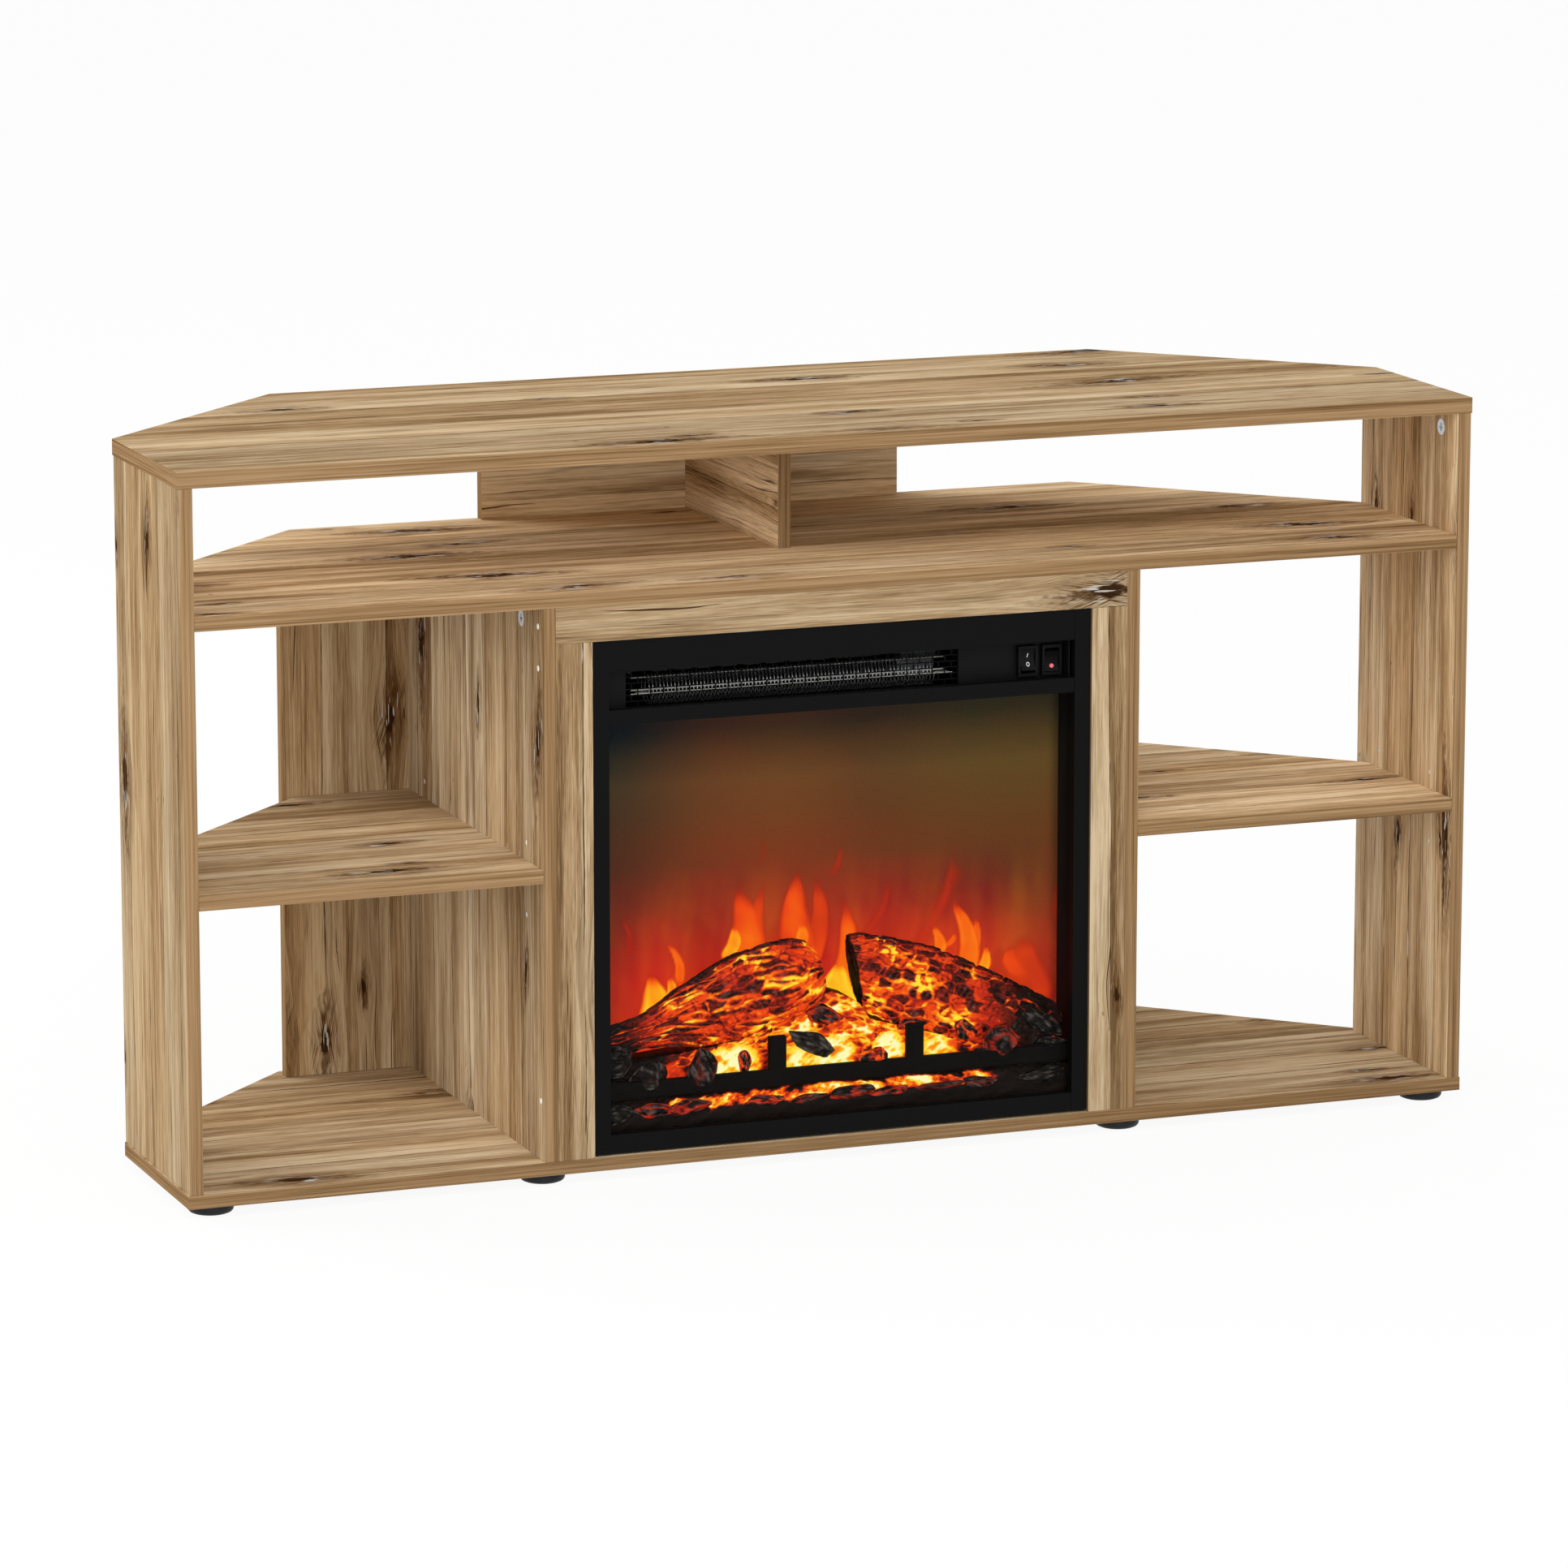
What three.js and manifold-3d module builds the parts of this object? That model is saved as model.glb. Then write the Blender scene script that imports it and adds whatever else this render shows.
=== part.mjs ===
// Corner television stand with an electric fireplace in its middle bay.
// Millimetres, +Z up, +X to the right seen from the front, and the front faces -Y.
// The origin lies on the floor, under the middle of the stand's outline.
import * as THREE from 'three';
import { mergeVertices } from 'three/addons/utils/BufferGeometryUtils.js';
import Module from 'manifold-3d';

const wasm = await Module();
wasm.setup();

// Tolerances and clearances
const MERGE_TOLERANCE = 0.0001;
const OVERRUN = 2;
const JOINT_GAP = 0.2;
const BORE_GAP = 0.15;
const SEAT_GAP = 0.3;

// Boards of the stand
const STAND_WIDTH = 1200;
const STAND_DEPTH = 402.5;
const SIDE_DEPTH = 200;
const BOARD = 12;
const TOP_THICKNESS = 14;
const BAY_HEIGHT = 488;
const UPPER_HEIGHT = 110;
const SIDE_OVERHANG = 1.1;
const TV_SHELF_BACK_INSET = 1;
const TV_SHELF_CORNER_INSET = 18;
const SIDE_SHELF_CORNER_INSET = 36;
const DIVIDER_X = 272.5;
const LOWER_BACK_WIDTH = 796;
const LOWER_BACK_INSET = 13.5;
const UPPER_BACK_WIDTH = 404.8;
const CENTRE_DIVIDER_Y = 150;
const STILE_WIDTH = 33.5;
const HEADER_HEIGHT = 31.5;
const RAIL_THICKNESS = 20;
const CORD_NOTCH_WIDTH = 80;
const CORD_NOTCH_HEIGHT = 40;

// Feet
const FOOT_HEIGHT = 10;
const FOOT_RADIUS = 20;
const FOOT_EDGE_RADIUS = 4;
const FOOT_INSET = 27;
const FOOT_DIAGONAL_INSET = 45;

// Shelf pins and cam locks
const PIN_RADIUS = 2.5;
const PIN_HOLE_DEPTH = 9;
const PIN_HEAD_RADIUS = 4.5;
const PIN_HEAD_LENGTH = 8;
const PIN_PITCH = 32;
const PIN_FRONT_Y = 47;
const PIN_SIDE_BACK_Y = 154;
const PIN_DIVIDER_BACK_Y = 330;
const SIDE_SHELF_HEIGHT = 247.7;
const CAM_RADIUS = 7.5;
const CAM_DEPTH = 9.5;
const CAM_DROP = 17;
const SIDE_CAM_Y = 36;
const DIVIDER_CAM_Y = 56;
const CAM_SLOT_LENGTH = 7;
const CAM_SLOT_WIDTH = 1.8;
const CAM_SLOT_DEPTH = 2;

// Front frame of the fireplace
const FRAME_WIDTH = 464;
const FRAME_HEIGHT = 454;
const FRAME_LIFT = 2;
const FRAME_RECESS = 2;
const FRAME_THICKNESS = 8;
const FRAME_SIDE_BAR = 14.5;
const FRAME_BOTTOM_BAR = 16.5;
const FRAME_CROSSBAR = 12.8;
const BAR_SETBACK = 0.5;
const GLASS_OPENING_HEIGHT = 363.5;
const CONTROL_OPENING_HEIGHT = 34;

// Steel case behind the frame
const SHEET = 1.2;
const CASE_WIDTH = 458;
const CASE_HEIGHT = 451;
const CASE_DEPTH = 150;
const TRAY_THICKNESS = 1.5;
const TRAY_DROP = 5.8;
const TRAY_FRONT_INSET = 2;
const VENT_WIDTH = 6;
const VENT_HEIGHT = 32;
const VENT_PITCH = 22;
const VENT_COUNT = 9;
const VENT_DROP = 24;
const GLAND_RADIUS = 6;
const GLAND_BORE = 3.8;
const GLAND_FLANGE_RADIUS = 9;
const GLAND_FLANGE_THICKNESS = 2.6;
const GLAND_NOSE = 6;
const GLAND_X = 150;
const GLAND_Z = 32;

// Control fascia, heater outlet and switches
const FASCIA_SETBACK = 23;
const FASCIA_THICKNESS = 2;
const FASCIA_WIDTH = 432;
const FASCIA_HEIGHT = 58;
const FASCIA_RETURN = 1.5;
const OUTLET_WIDTH = 310;
const OUTLET_HEIGHT = 32;
const OUTLET_X = -39;
const OUTLET_LIFT = 2.3;
const GRILLE_THICKNESS = 1;
const GRILLE_MARGIN = 4;
const GRILLE_ROWS = 6;
const GRILLE_COLUMNS = 26;
const GRILLE_WIRE = 1.1;
const SWITCH_X = 180;
const SWITCH_PITCH = 22.8;
const SWITCH_LIFT = 14.2;
const BEZEL_WIDTH = 18.6;
const BEZEL_HEIGHT = 27;
const BEZEL_RAISE = 6;
const SWITCH_NECK_WIDTH = 16.4;
const SWITCH_NECK_HEIGHT = 23.6;
const SWITCH_NECK_DEPTH = 15;
const ROCKER_WIDTH = 13;
const ROCKER_HEIGHT = 18.8;
const ROCKER_FRONT = 7.5;
const ROCKER_HOLLOW = 2.6;
const ROCKER_BACK = 3;
const ROCKER_BACK_HEIGHT = 12;
const ROCKER_SIDE_GAP = 0.35;
const ROCKER_END_GAP = 1.4;
const ROCKER_TILT = THREE.MathUtils.degToRad(9);
const TRUNNION_RADIUS = 1.2;
const TRUNNION_LENGTH = 0.9;
const LENS_RADIUS = 1.9;
const LENS_LENGTH = 3;
const LENS_PROUD = 0.7;
const TERMINAL_WIDTH = 4.8;
const TERMINAL_THICKNESS = 0.8;
const TERMINAL_LENGTH = 8;
const TERMINAL_PITCH = 8;

// Heating element
const HEATER_SETBACK = 17;
const HEATER_LIFT = 14;
const HEATER_X = -37;
const ROD_RADIUS = 2.6;
const HOLDER_SPAN = 304;
const HOLDER_THICKNESS = 2;
const HOLDER_WIDTH = 24;
const HOLDER_RISE = 16;
const COIL_RADIUS = 12.3;
const COIL_LENGTH = 266;
const COIL_TURNS = 40;
const WIRE_RADIUS = 0.8;

// Blower
const BLOWER_X = -38;
const BLOWER_Y = 95;
const BLOWER_LIFT = 27;
const BLOWER_RADIUS = 18;
const BLOWER_LENGTH = 230;
const BLOWER_BLADES = 12;
const BLADE_THICKNESS = 1.2;
const BLADE_DEPTH = 6;
const BLOWER_DISC = 2;
const AXLE_RADIUS = 2;
const AXLE_GAP = 0.4;
const LUG_THICKNESS = 3;
const LUG_WIDTH = 16;
const LUG_DISTANCE = 6;
const LUG_OVERHANG = 3;
const MOTOR_RADIUS = 15;
const MOTOR_LENGTH = 34;
const MOTOR_SOCKET = 12;
const MOTOR_FOOT_WIDTH = 18;

// Fire chamber
const GLASS_THICKNESS = 4;
const GLASS_MARGIN = 5;
const SCREEN_Y = 62;
const SCREEN_THICKNESS = 2;
const BED_FRONT_Y = 17;
const BED_STEP_Y = 30;
const BED_BACK_Y = 60;
const BED_HEIGHT = 122;
const APRON_HEIGHT = 38;
const GRATE_Y = 17.5;
const GRATE_DEPTH = 6.5;
const GRATE_BAR_Z = 45;
const GRATE_BAR_HEIGHT = 15;
const GRATE_POST_HEIGHT = 30;
const GRATE_POST_WIDTH = 16;
const GRATE_POSTS_X = 9;
const GRATE_POST_REACH = 65;
const LOG_Y = 41;
const LOG_FLATTEN_SHARE = 0.45;
const LEFT_LOG_LENGTH = 227;
const LEFT_LOG_RADIUS = 40;
const LEFT_LOG_X = -225;
const LEFT_LOG_Z = 85;
const LEFT_LOG_TILT = THREE.MathUtils.degToRad(14.6);
const RIGHT_LOG_LENGTH = 235;
const RIGHT_LOG_RADIUS = 38;
const RIGHT_LOG_X = 5;
const RIGHT_LOG_Z = 150;
const RIGHT_LOG_TILT = THREE.MathUtils.degToRad(-22);
const RIGHT_LOG_END_X = 22.8;
const RIGHT_LOG_END_Z = 143.5;
const RIGHT_LOG_END_LEAN = THREE.MathUtils.degToRad(-10.4);

// Flame effect behind the screen
const ROTOR_Y = 95;
const ROTOR_Z = 43;
const ROTOR_RADIUS = 20;
const ROTOR_LENGTH = 360;
const ROTOR_PADDLES = 10;
const PADDLE_LENGTH = 28;
const PADDLE_TWIST = THREE.MathUtils.degToRad(54);
const ROTOR_AXLE_RADIUS = 2.5;
const ROTOR_MOTOR_RADIUS = 18;
const ROTOR_MOTOR_LENGTH = 30;
const BEARING_RADIUS = 6;
const BEARING_LENGTH = 8;
const LED_STRIP_LENGTH = 380;
const LED_STRIP_WIDTH = 10;
const LED_STRIP_THICKNESS = 1.6;
const LED_STRIP_Y = 76;
const LED_COUNT = 8;
const LED_SIZE = 5;
const LED_RISE = 2;

// Facets
const HOLE_SEGMENTS = 12;
const ROUND_SEGMENTS = 20;
const LOG_SEGMENTS = 14;
const COIL_STEPS_PER_TURN = 8;
const WIRE_SIDES = 5;

// Places that follow from the sizes above, in the stand's frame: y = 0 is its front plane.
const HALF_WIDTH = STAND_WIDTH / 2;
const LOWER_BACK_Y = STAND_DEPTH - LOWER_BACK_INSET - BOARD;
const BAY_Z = FOOT_HEIGHT + BOARD;
const SHELF_Z = BAY_Z + BAY_HEIGHT;
const UPPER_Z = SHELF_Z + BOARD;
const TOP_Z = UPPER_Z + UPPER_HEIGHT;
const SIDE_INNER_X = HALF_WIDTH - SIDE_OVERHANG - BOARD;
const DIVIDER_OUTER_X = DIVIDER_X + BOARD / 2;
const DIVIDER_INNER_X = DIVIDER_X - BOARD / 2;
const CORNER_SUM = HALF_WIDTH + SIDE_DEPTH;
const TV_SHELF_DEPTH = STAND_DEPTH - TV_SHELF_BACK_INSET;
const PIN_ROW_Z = BAY_Z + SIDE_SHELF_HEIGHT - JOINT_GAP - PIN_HEAD_RADIUS;
const HOLE_ROWS = [PIN_ROW_Z - PIN_PITCH, PIN_ROW_Z, PIN_ROW_Z + PIN_PITCH];

// Places in the fireplace's frame: y = 0 is the stand's front plane, z = 0 the floor of its bay.
const FRAME_FRONT_Y = FRAME_RECESS;
const FRAME_BACK_Y = FRAME_RECESS + FRAME_THICKNESS;
const GLASS_OPENING_Z = FRAME_LIFT + FRAME_BOTTOM_BAR;
const CONTROL_OPENING_Z = GLASS_OPENING_Z + GLASS_OPENING_HEIGHT + FRAME_CROSSBAR;
const OPENING_WIDTH = FRAME_WIDTH - 2 * FRAME_SIDE_BAR;
const CASE_FRONT_Y = FRAME_BACK_Y + JOINT_GAP;
const CASE_BACK_Y = CASE_FRONT_Y + CASE_DEPTH;
const CASE_INNER_X = CASE_WIDTH / 2 - SHEET;
const CASE_FLOOR_Z = JOINT_GAP + SHEET;
const TRAY_Z = CONTROL_OPENING_Z - TRAY_DROP;
const FASCIA_Y = FRAME_FRONT_Y + FASCIA_SETBACK;
const FASCIA_BACK_Y = FASCIA_Y + FASCIA_THICKNESS;
const OUTLET_Z = TRAY_Z + OUTLET_LIFT;
const SWITCH_Z = CONTROL_OPENING_Z + SWITCH_LIFT;
const PIVOT_Y = FASCIA_Y + FASCIA_THICKNESS / 2;
const HEATER_Y = FASCIA_BACK_Y + HEATER_SETBACK;
const HEATER_Z = TRAY_Z + HEATER_LIFT;
const BLOWER_Z = TRAY_Z + BLOWER_LIFT;

// Finishes
const oak = { color: 0xb3946d, roughness: 0.62, metalness: 0 };
const blackPlastic = { color: 0x17181a, roughness: 0.5, metalness: 0 };
const blackPaint = { color: 0x141516, roughness: 0.45, metalness: 0.2 };
const zinc = { color: 0xc9cacc, roughness: 0.32, metalness: 0.9 };
const bareSteel = { color: 0xa3a6a8, roughness: 0.4, metalness: 0.9 };
const ceramic = { color: 0xd8d4ca, roughness: 0.6, metalness: 0 };
const clearGlass = { color: 0xc8d0d0, roughness: 0.05, metalness: 0, transparent: true, opacity: 0.3 };
const flameScreen = { color: 0x8a3214, roughness: 0.3, metalness: 0 };
const charredLog = { color: 0x4a1a10, roughness: 0.75, metalness: 0 };
const embers = { color: 0xd8601a, roughness: 0.7, metalness: 0 };
const redLens = { color: 0xe0707a, roughness: 0.25, metalness: 0 };
const boardGreen = { color: 0xe8e6de, roughness: 0.5, metalness: 0 };
const mirrorFoil = { color: 0xd6d7d9, roughness: 0.15, metalness: 1 };

function piece(parent, name, geometry, finish) {
  const mesh = new THREE.Mesh(geometry, new THREE.MeshStandardMaterial(finish));
  mesh.name = name;
  parent.add(mesh);
  return mesh;
}

// A closed geometry as a solid that can be cut and joined.
function toSolid(geometry) {
  const bare = geometry.clone();
  bare.deleteAttribute('normal');
  bare.deleteAttribute('uv');
  const merged = mergeVertices(bare, MERGE_TOLERANCE);
  return new wasm.Manifold(new wasm.Mesh({
    numProp: 3,
    vertProperties: Float32Array.from(merged.attributes.position.array),
    triVerts: Uint32Array.from(merged.index.array),
  }));
}

function toGeometry(solid) {
  const mesh = solid.getMesh();
  const geometry = new THREE.BufferGeometry();
  geometry.setAttribute('position', new THREE.BufferAttribute(mesh.vertProperties, 3));
  geometry.setIndex(new THREE.BufferAttribute(mesh.triVerts, 1));
  geometry.computeVertexNormals();
  return geometry;
}

function join(geometries) {
  return toGeometry(geometries.map(toSolid).reduce((whole, next) => whole.add(next)));
}

function cut(geometry, cutters) {
  return toGeometry(cutters.map(toSolid).reduce((rest, cutter) => rest.subtract(cutter), toSolid(geometry)));
}

// A block between two corners.
function block(x0, x1, y0, y1, z0, z1) {
  const geometry = new THREE.BoxGeometry(x1 - x0, y1 - y0, z1 - z0);
  return geometry.translate((x0 + x1) / 2, (y0 + y1) / 2, (z0 + z1) / 2);
}

// A cylinder along X that starts at x, centred on (y, z).
function barAlongX(radius, x, length, y, z, segments = HOLE_SEGMENTS) {
  const geometry = new THREE.CylinderGeometry(radius, radius, length, segments);
  return geometry.rotateZ(Math.PI / 2).translate(x + length / 2, y, z);
}

function outline(points) {
  return new THREE.Shape(points.map(([x, y]) => new THREE.Vector2(x, y)));
}

function rectangle(x0, x1, y0, y1) {
  return [[x0, y0], [x1, y0], [x1, y1], [x0, y1]];
}

// A flat board lying in XY, its underside at z = 0.
function lyingBoard(points, thickness) {
  return new THREE.ExtrudeGeometry(outline(points), { depth: thickness, bevelEnabled: false });
}

// A plate standing in XZ, its front face at y = 0, with holes cut through it.
function standingPlate(points, thickness, holes = []) {
  const slab = (ring, y0, y1) => new THREE.ExtrudeGeometry(outline(ring), { depth: y1 - y0, bevelEnabled: false })
    .rotateX(Math.PI / 2)
    .translate(0, y1, 0);
  const plate = slab(points, 0, thickness);
  return holes.length === 0 ? plate : cut(plate, holes.map((ring) => slab(ring, -OVERRUN, thickness + OVERRUN)));
}

// A bar along X from x0 to x1 with its section given as (y, z) points.
function sectionAlongX(points, x0, x1) {
  const geometry = new THREE.ExtrudeGeometry(outline(points), { depth: x1 - x0, bevelEnabled: false });
  return geometry.rotateY(Math.PI / 2).rotateX(Math.PI / 2).translate(x0, 0, 0);
}

// Six-sided outline with 45 degree corners cut off at the back.
function cornerOutline(halfWidth, cornerSum, depth) {
  return [
    [-halfWidth, 0], [halfWidth, 0], [halfWidth, cornerSum - halfWidth],
    [cornerSum - depth, depth], [depth - cornerSum, depth], [-halfWidth, cornerSum - halfWidth],
  ];
}

// Cutter for a blind bore in a board's face: side is the face's outward direction along X.
function faceBore(side, radius, depth, y, z, segments) {
  const x = side > 0 ? BOARD / 2 - depth : -BOARD / 2 - OVERRUN;
  return barAlongX(radius, x, depth + OVERRUN, y, z, segments);
}

// An upright board, its middle plane at x = 0 and its foot at z = 0, with pin holes and a cam bore.
function uprightBoard(side, depth, height, footZ, pinColumns, camY) {
  const pinBores = pinColumns.flatMap((y) => HOLE_ROWS.map(
    (z) => faceBore(side, PIN_RADIUS, PIN_HOLE_DEPTH, y, z - footZ, HOLE_SEGMENTS),
  ));
  const camZ = height + JOINT_GAP - CAM_DROP;
  const camBore = faceBore(side, CAM_RADIUS, CAM_DEPTH, camY, camZ, ROUND_SEGMENTS);
  return cut(block(-BOARD / 2, BOARD / 2, 0, depth, 0, height), [...pinBores, camBore]);
}

// Shelf pin along +X from the bottom of its hole: shank first, then the head that carries the shelf.
function shelfPin() {
  const shankLength = PIN_HOLE_DEPTH - BORE_GAP;
  const profile = [
    [0, 0], [PIN_RADIUS - BORE_GAP, 0], [PIN_RADIUS - BORE_GAP, shankLength + BORE_GAP * 2],
    [PIN_HEAD_RADIUS, shankLength + BORE_GAP * 2], [PIN_HEAD_RADIUS, shankLength + PIN_HEAD_LENGTH],
    [0, shankLength + PIN_HEAD_LENGTH],
  ].map(([r, h]) => new THREE.Vector2(r, h));
  return new THREE.LatheGeometry(profile, HOLE_SEGMENTS).rotateZ(-Math.PI / 2);
}

// Cam lock along +X: its slotted face looks along +X at x = 0.
function camLock() {
  const length = CAM_DEPTH - SEAT_GAP;
  const body = barAlongX(CAM_RADIUS - BORE_GAP, -length, length, 0, 0, ROUND_SEGMENTS);
  const half = CAM_SLOT_LENGTH / 2;
  const thin = CAM_SLOT_WIDTH / 2;
  return cut(body, [
    block(-CAM_SLOT_DEPTH, OVERRUN, -half, half, -thin, thin),
    block(-CAM_SLOT_DEPTH, OVERRUN, -thin, thin, -half, half),
  ]);
}

function foot() {
  const height = FOOT_HEIGHT - JOINT_GAP;
  const profile = [
    [0, 0], [FOOT_RADIUS - FOOT_EDGE_RADIUS, 0],
    [FOOT_RADIUS - FOOT_EDGE_RADIUS * (1 - Math.SQRT1_2), FOOT_EDGE_RADIUS * (1 - Math.SQRT1_2)],
    [FOOT_RADIUS, FOOT_EDGE_RADIUS], [FOOT_RADIUS, height], [0, height],
  ].map(([r, h]) => new THREE.Vector2(r, h));
  return new THREE.LatheGeometry(profile, ROUND_SEGMENTS).rotateX(Math.PI / 2);
}

function addBoards(stand) {
  const full = lyingBoard(cornerOutline(HALF_WIDTH, CORNER_SUM, STAND_DEPTH), BOARD);
  piece(stand, 'bottom_panel', full, oak).position.z = FOOT_HEIGHT;
  const top = lyingBoard(cornerOutline(HALF_WIDTH, CORNER_SUM, STAND_DEPTH), TOP_THICKNESS);
  piece(stand, 'top_panel', top, oak).position.z = TOP_Z;
  const shelfOutline = cornerOutline(
    SIDE_INNER_X - JOINT_GAP, CORNER_SUM - TV_SHELF_CORNER_INSET, TV_SHELF_DEPTH,
  );
  piece(stand, 'tv_shelf', lyingBoard(shelfOutline, BOARD), oak).position.z = SHELF_Z;

  const sideZ = BAY_Z + JOINT_GAP;
  const sideHeight = TOP_Z - BAY_Z - 2 * JOINT_GAP;
  const dividerHeight = BAY_HEIGHT - 2 * JOINT_GAP;
  for (const [name, side] of [['left', -1], ['right', 1]]) {
    const panel = uprightBoard(
      -side, SIDE_DEPTH, sideHeight, sideZ, [PIN_FRONT_Y, PIN_SIDE_BACK_Y], SIDE_CAM_Y,
    );
    piece(stand, `${name}_side_panel`, panel, oak).position.set(side * (SIDE_INNER_X + BOARD / 2), 0, sideZ);
    const divider = uprightBoard(
      side, LOWER_BACK_Y - JOINT_GAP, dividerHeight, sideZ, [PIN_FRONT_Y, PIN_DIVIDER_BACK_Y], DIVIDER_CAM_Y,
    );
    piece(stand, `${name}_divider`, divider, oak).position.set(side * DIVIDER_X, 0, sideZ);
  }

  const halfBack = LOWER_BACK_WIDTH / 2;
  const halfNotch = CORD_NOTCH_WIDTH / 2;
  const lowerBack = standingPlate([
    [-halfBack, 0], [-halfNotch, 0], [-halfNotch, CORD_NOTCH_HEIGHT], [halfNotch, CORD_NOTCH_HEIGHT],
    [halfNotch, 0], [halfBack, 0], [halfBack, dividerHeight], [-halfBack, dividerHeight],
  ], BOARD);
  piece(stand, 'lower_back_panel', lowerBack, oak).position.set(0, LOWER_BACK_Y, sideZ);

  const upperHeight = UPPER_HEIGHT - 2 * JOINT_GAP;
  const upperBackY = TV_SHELF_DEPTH - BOARD;
  const upperBack = new THREE.BoxGeometry(UPPER_BACK_WIDTH, BOARD, upperHeight);
  piece(stand, 'upper_back_panel', upperBack, oak)
    .position.set(0, upperBackY + BOARD / 2, UPPER_Z + UPPER_HEIGHT / 2);
  const centreDepth = upperBackY - JOINT_GAP - CENTRE_DIVIDER_Y;
  const centre = new THREE.BoxGeometry(BOARD, centreDepth, upperHeight);
  piece(stand, 'centre_divider', centre, oak)
    .position.set(0, CENTRE_DIVIDER_Y + centreDepth / 2, UPPER_Z + UPPER_HEIGHT / 2);
}

// Header and stiles that frame the fireplace between the dividers.
function addRails(stand) {
  const halfBay = DIVIDER_INNER_X - JOINT_GAP;
  const headerZ = SHELF_Z - HEADER_HEIGHT;
  const header = block(-halfBay, halfBay, 0, RAIL_THICKNESS, 0, HEADER_HEIGHT - JOINT_GAP);
  piece(stand, 'header_rail', header, oak).position.z = headerZ;
  const stileHeight = BAY_HEIGHT - HEADER_HEIGHT - 2 * JOINT_GAP;
  for (const [name, side] of [['left', -1], ['right', 1]]) {
    const stile = new THREE.BoxGeometry(STILE_WIDTH - JOINT_GAP, RAIL_THICKNESS, stileHeight);
    piece(stand, `${name}_stile`, stile, oak).position.set(
      side * (DIVIDER_INNER_X - (STILE_WIDTH + JOINT_GAP) / 2),
      RAIL_THICKNESS / 2,
      BAY_Z + JOINT_GAP + stileHeight / 2,
    );
  }
}

// The adjustable corner shelves and the four pins under each.
function addSideShelves(stand) {
  const innerX = DIVIDER_OUTER_X + JOINT_GAP;
  const outerX = SIDE_INNER_X - JOINT_GAP;
  const cornerSum = CORNER_SUM - SIDE_SHELF_CORNER_INSET;
  const backY = LOWER_BACK_Y - JOINT_GAP;
  const pinInset = PIN_HOLE_DEPTH - BORE_GAP;
  for (const [name, side] of [['left', -1], ['right', 1]]) {
    const points = [
      [innerX, 0], [outerX, 0], [outerX, cornerSum - outerX], [cornerSum - backY, backY], [innerX, backY],
    ].map(([x, y]) => [side * x, y]);
    const shelf = piece(stand, `${name}_shelf`, lyingBoard(points, BOARD), oak);
    shelf.position.z = BAY_Z + SIDE_SHELF_HEIGHT;
    const places = [
      ['divider_front', DIVIDER_OUTER_X - pinInset, PIN_FRONT_Y, side],
      ['divider_back', DIVIDER_OUTER_X - pinInset, PIN_DIVIDER_BACK_Y, side],
      ['side_front', SIDE_INNER_X + pinInset, PIN_FRONT_Y, -side],
      ['side_back', SIDE_INNER_X + pinInset, PIN_SIDE_BACK_Y, -side],
    ];
    for (const [place, x, y, facing] of places) {
      const pin = piece(stand, `${name}_pin_${place}`, shelfPin(), zinc);
      pin.position.set(side * x, y, PIN_ROW_Z);
      pin.rotation.z = facing > 0 ? 0 : Math.PI;
    }
  }
}

function addCams(stand) {
  for (const [name, side] of [['left', -1], ['right', 1]]) {
    const sideCam = piece(stand, `${name}_side_cam`, camLock(), zinc);
    sideCam.position.set(side * SIDE_INNER_X, SIDE_CAM_Y, TOP_Z - CAM_DROP);
    sideCam.rotation.z = side > 0 ? Math.PI : 0;
    const dividerCam = piece(stand, `${name}_divider_cam`, camLock(), zinc);
    dividerCam.position.set(side * DIVIDER_OUTER_X, DIVIDER_CAM_Y, SHELF_Z - CAM_DROP);
    dividerCam.rotation.z = side > 0 ? 0 : Math.PI;
  }
}

function addFeet(stand) {
  const cornerCut = STAND_DEPTH - SIDE_DEPTH;
  const diagonalX = HALF_WIDTH - cornerCut / 2 - FOOT_DIAGONAL_INSET * Math.SQRT1_2;
  const diagonalY = STAND_DEPTH - cornerCut / 2 - FOOT_DIAGONAL_INSET * Math.SQRT1_2;
  const places = [
    ['front_outer', HALF_WIDTH - FOOT_INSET, FOOT_INSET],
    ['front_inner', DIVIDER_X, FOOT_INSET],
    ['rear_outer', diagonalX, diagonalY],
    ['rear_inner', DIVIDER_X, STAND_DEPTH - FOOT_INSET],
  ];
  for (const [name, side] of [['left', -1], ['right', 1]]) {
    for (const [place, x, y] of places) {
      piece(stand, `${name}_foot_${place}`, foot(), blackPlastic).position.set(side * x, y, 0);
    }
  }
}

// Frame with a large glass opening below and a low control opening above.
function frontFrame() {
  const half = FRAME_WIDTH / 2;
  const open = OPENING_WIDTH / 2;
  const top = FRAME_LIFT + FRAME_HEIGHT;
  const controlTop = CONTROL_OPENING_Z + CONTROL_OPENING_HEIGHT;
  const bar = (z0, z1) => block(
    -open - OVERRUN, open + OVERRUN, FRAME_FRONT_Y + BAR_SETBACK, FRAME_BACK_Y, z0, z1,
  );
  return join([
    block(-half, -open, FRAME_FRONT_Y, FRAME_BACK_Y, FRAME_LIFT, top),
    block(open, half, FRAME_FRONT_Y, FRAME_BACK_Y, FRAME_LIFT, top),
    bar(FRAME_LIFT, GLASS_OPENING_Z),
    bar(GLASS_OPENING_Z + GLASS_OPENING_HEIGHT, CONTROL_OPENING_Z),
    bar(controlTop, top),
  ]);
}

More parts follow.
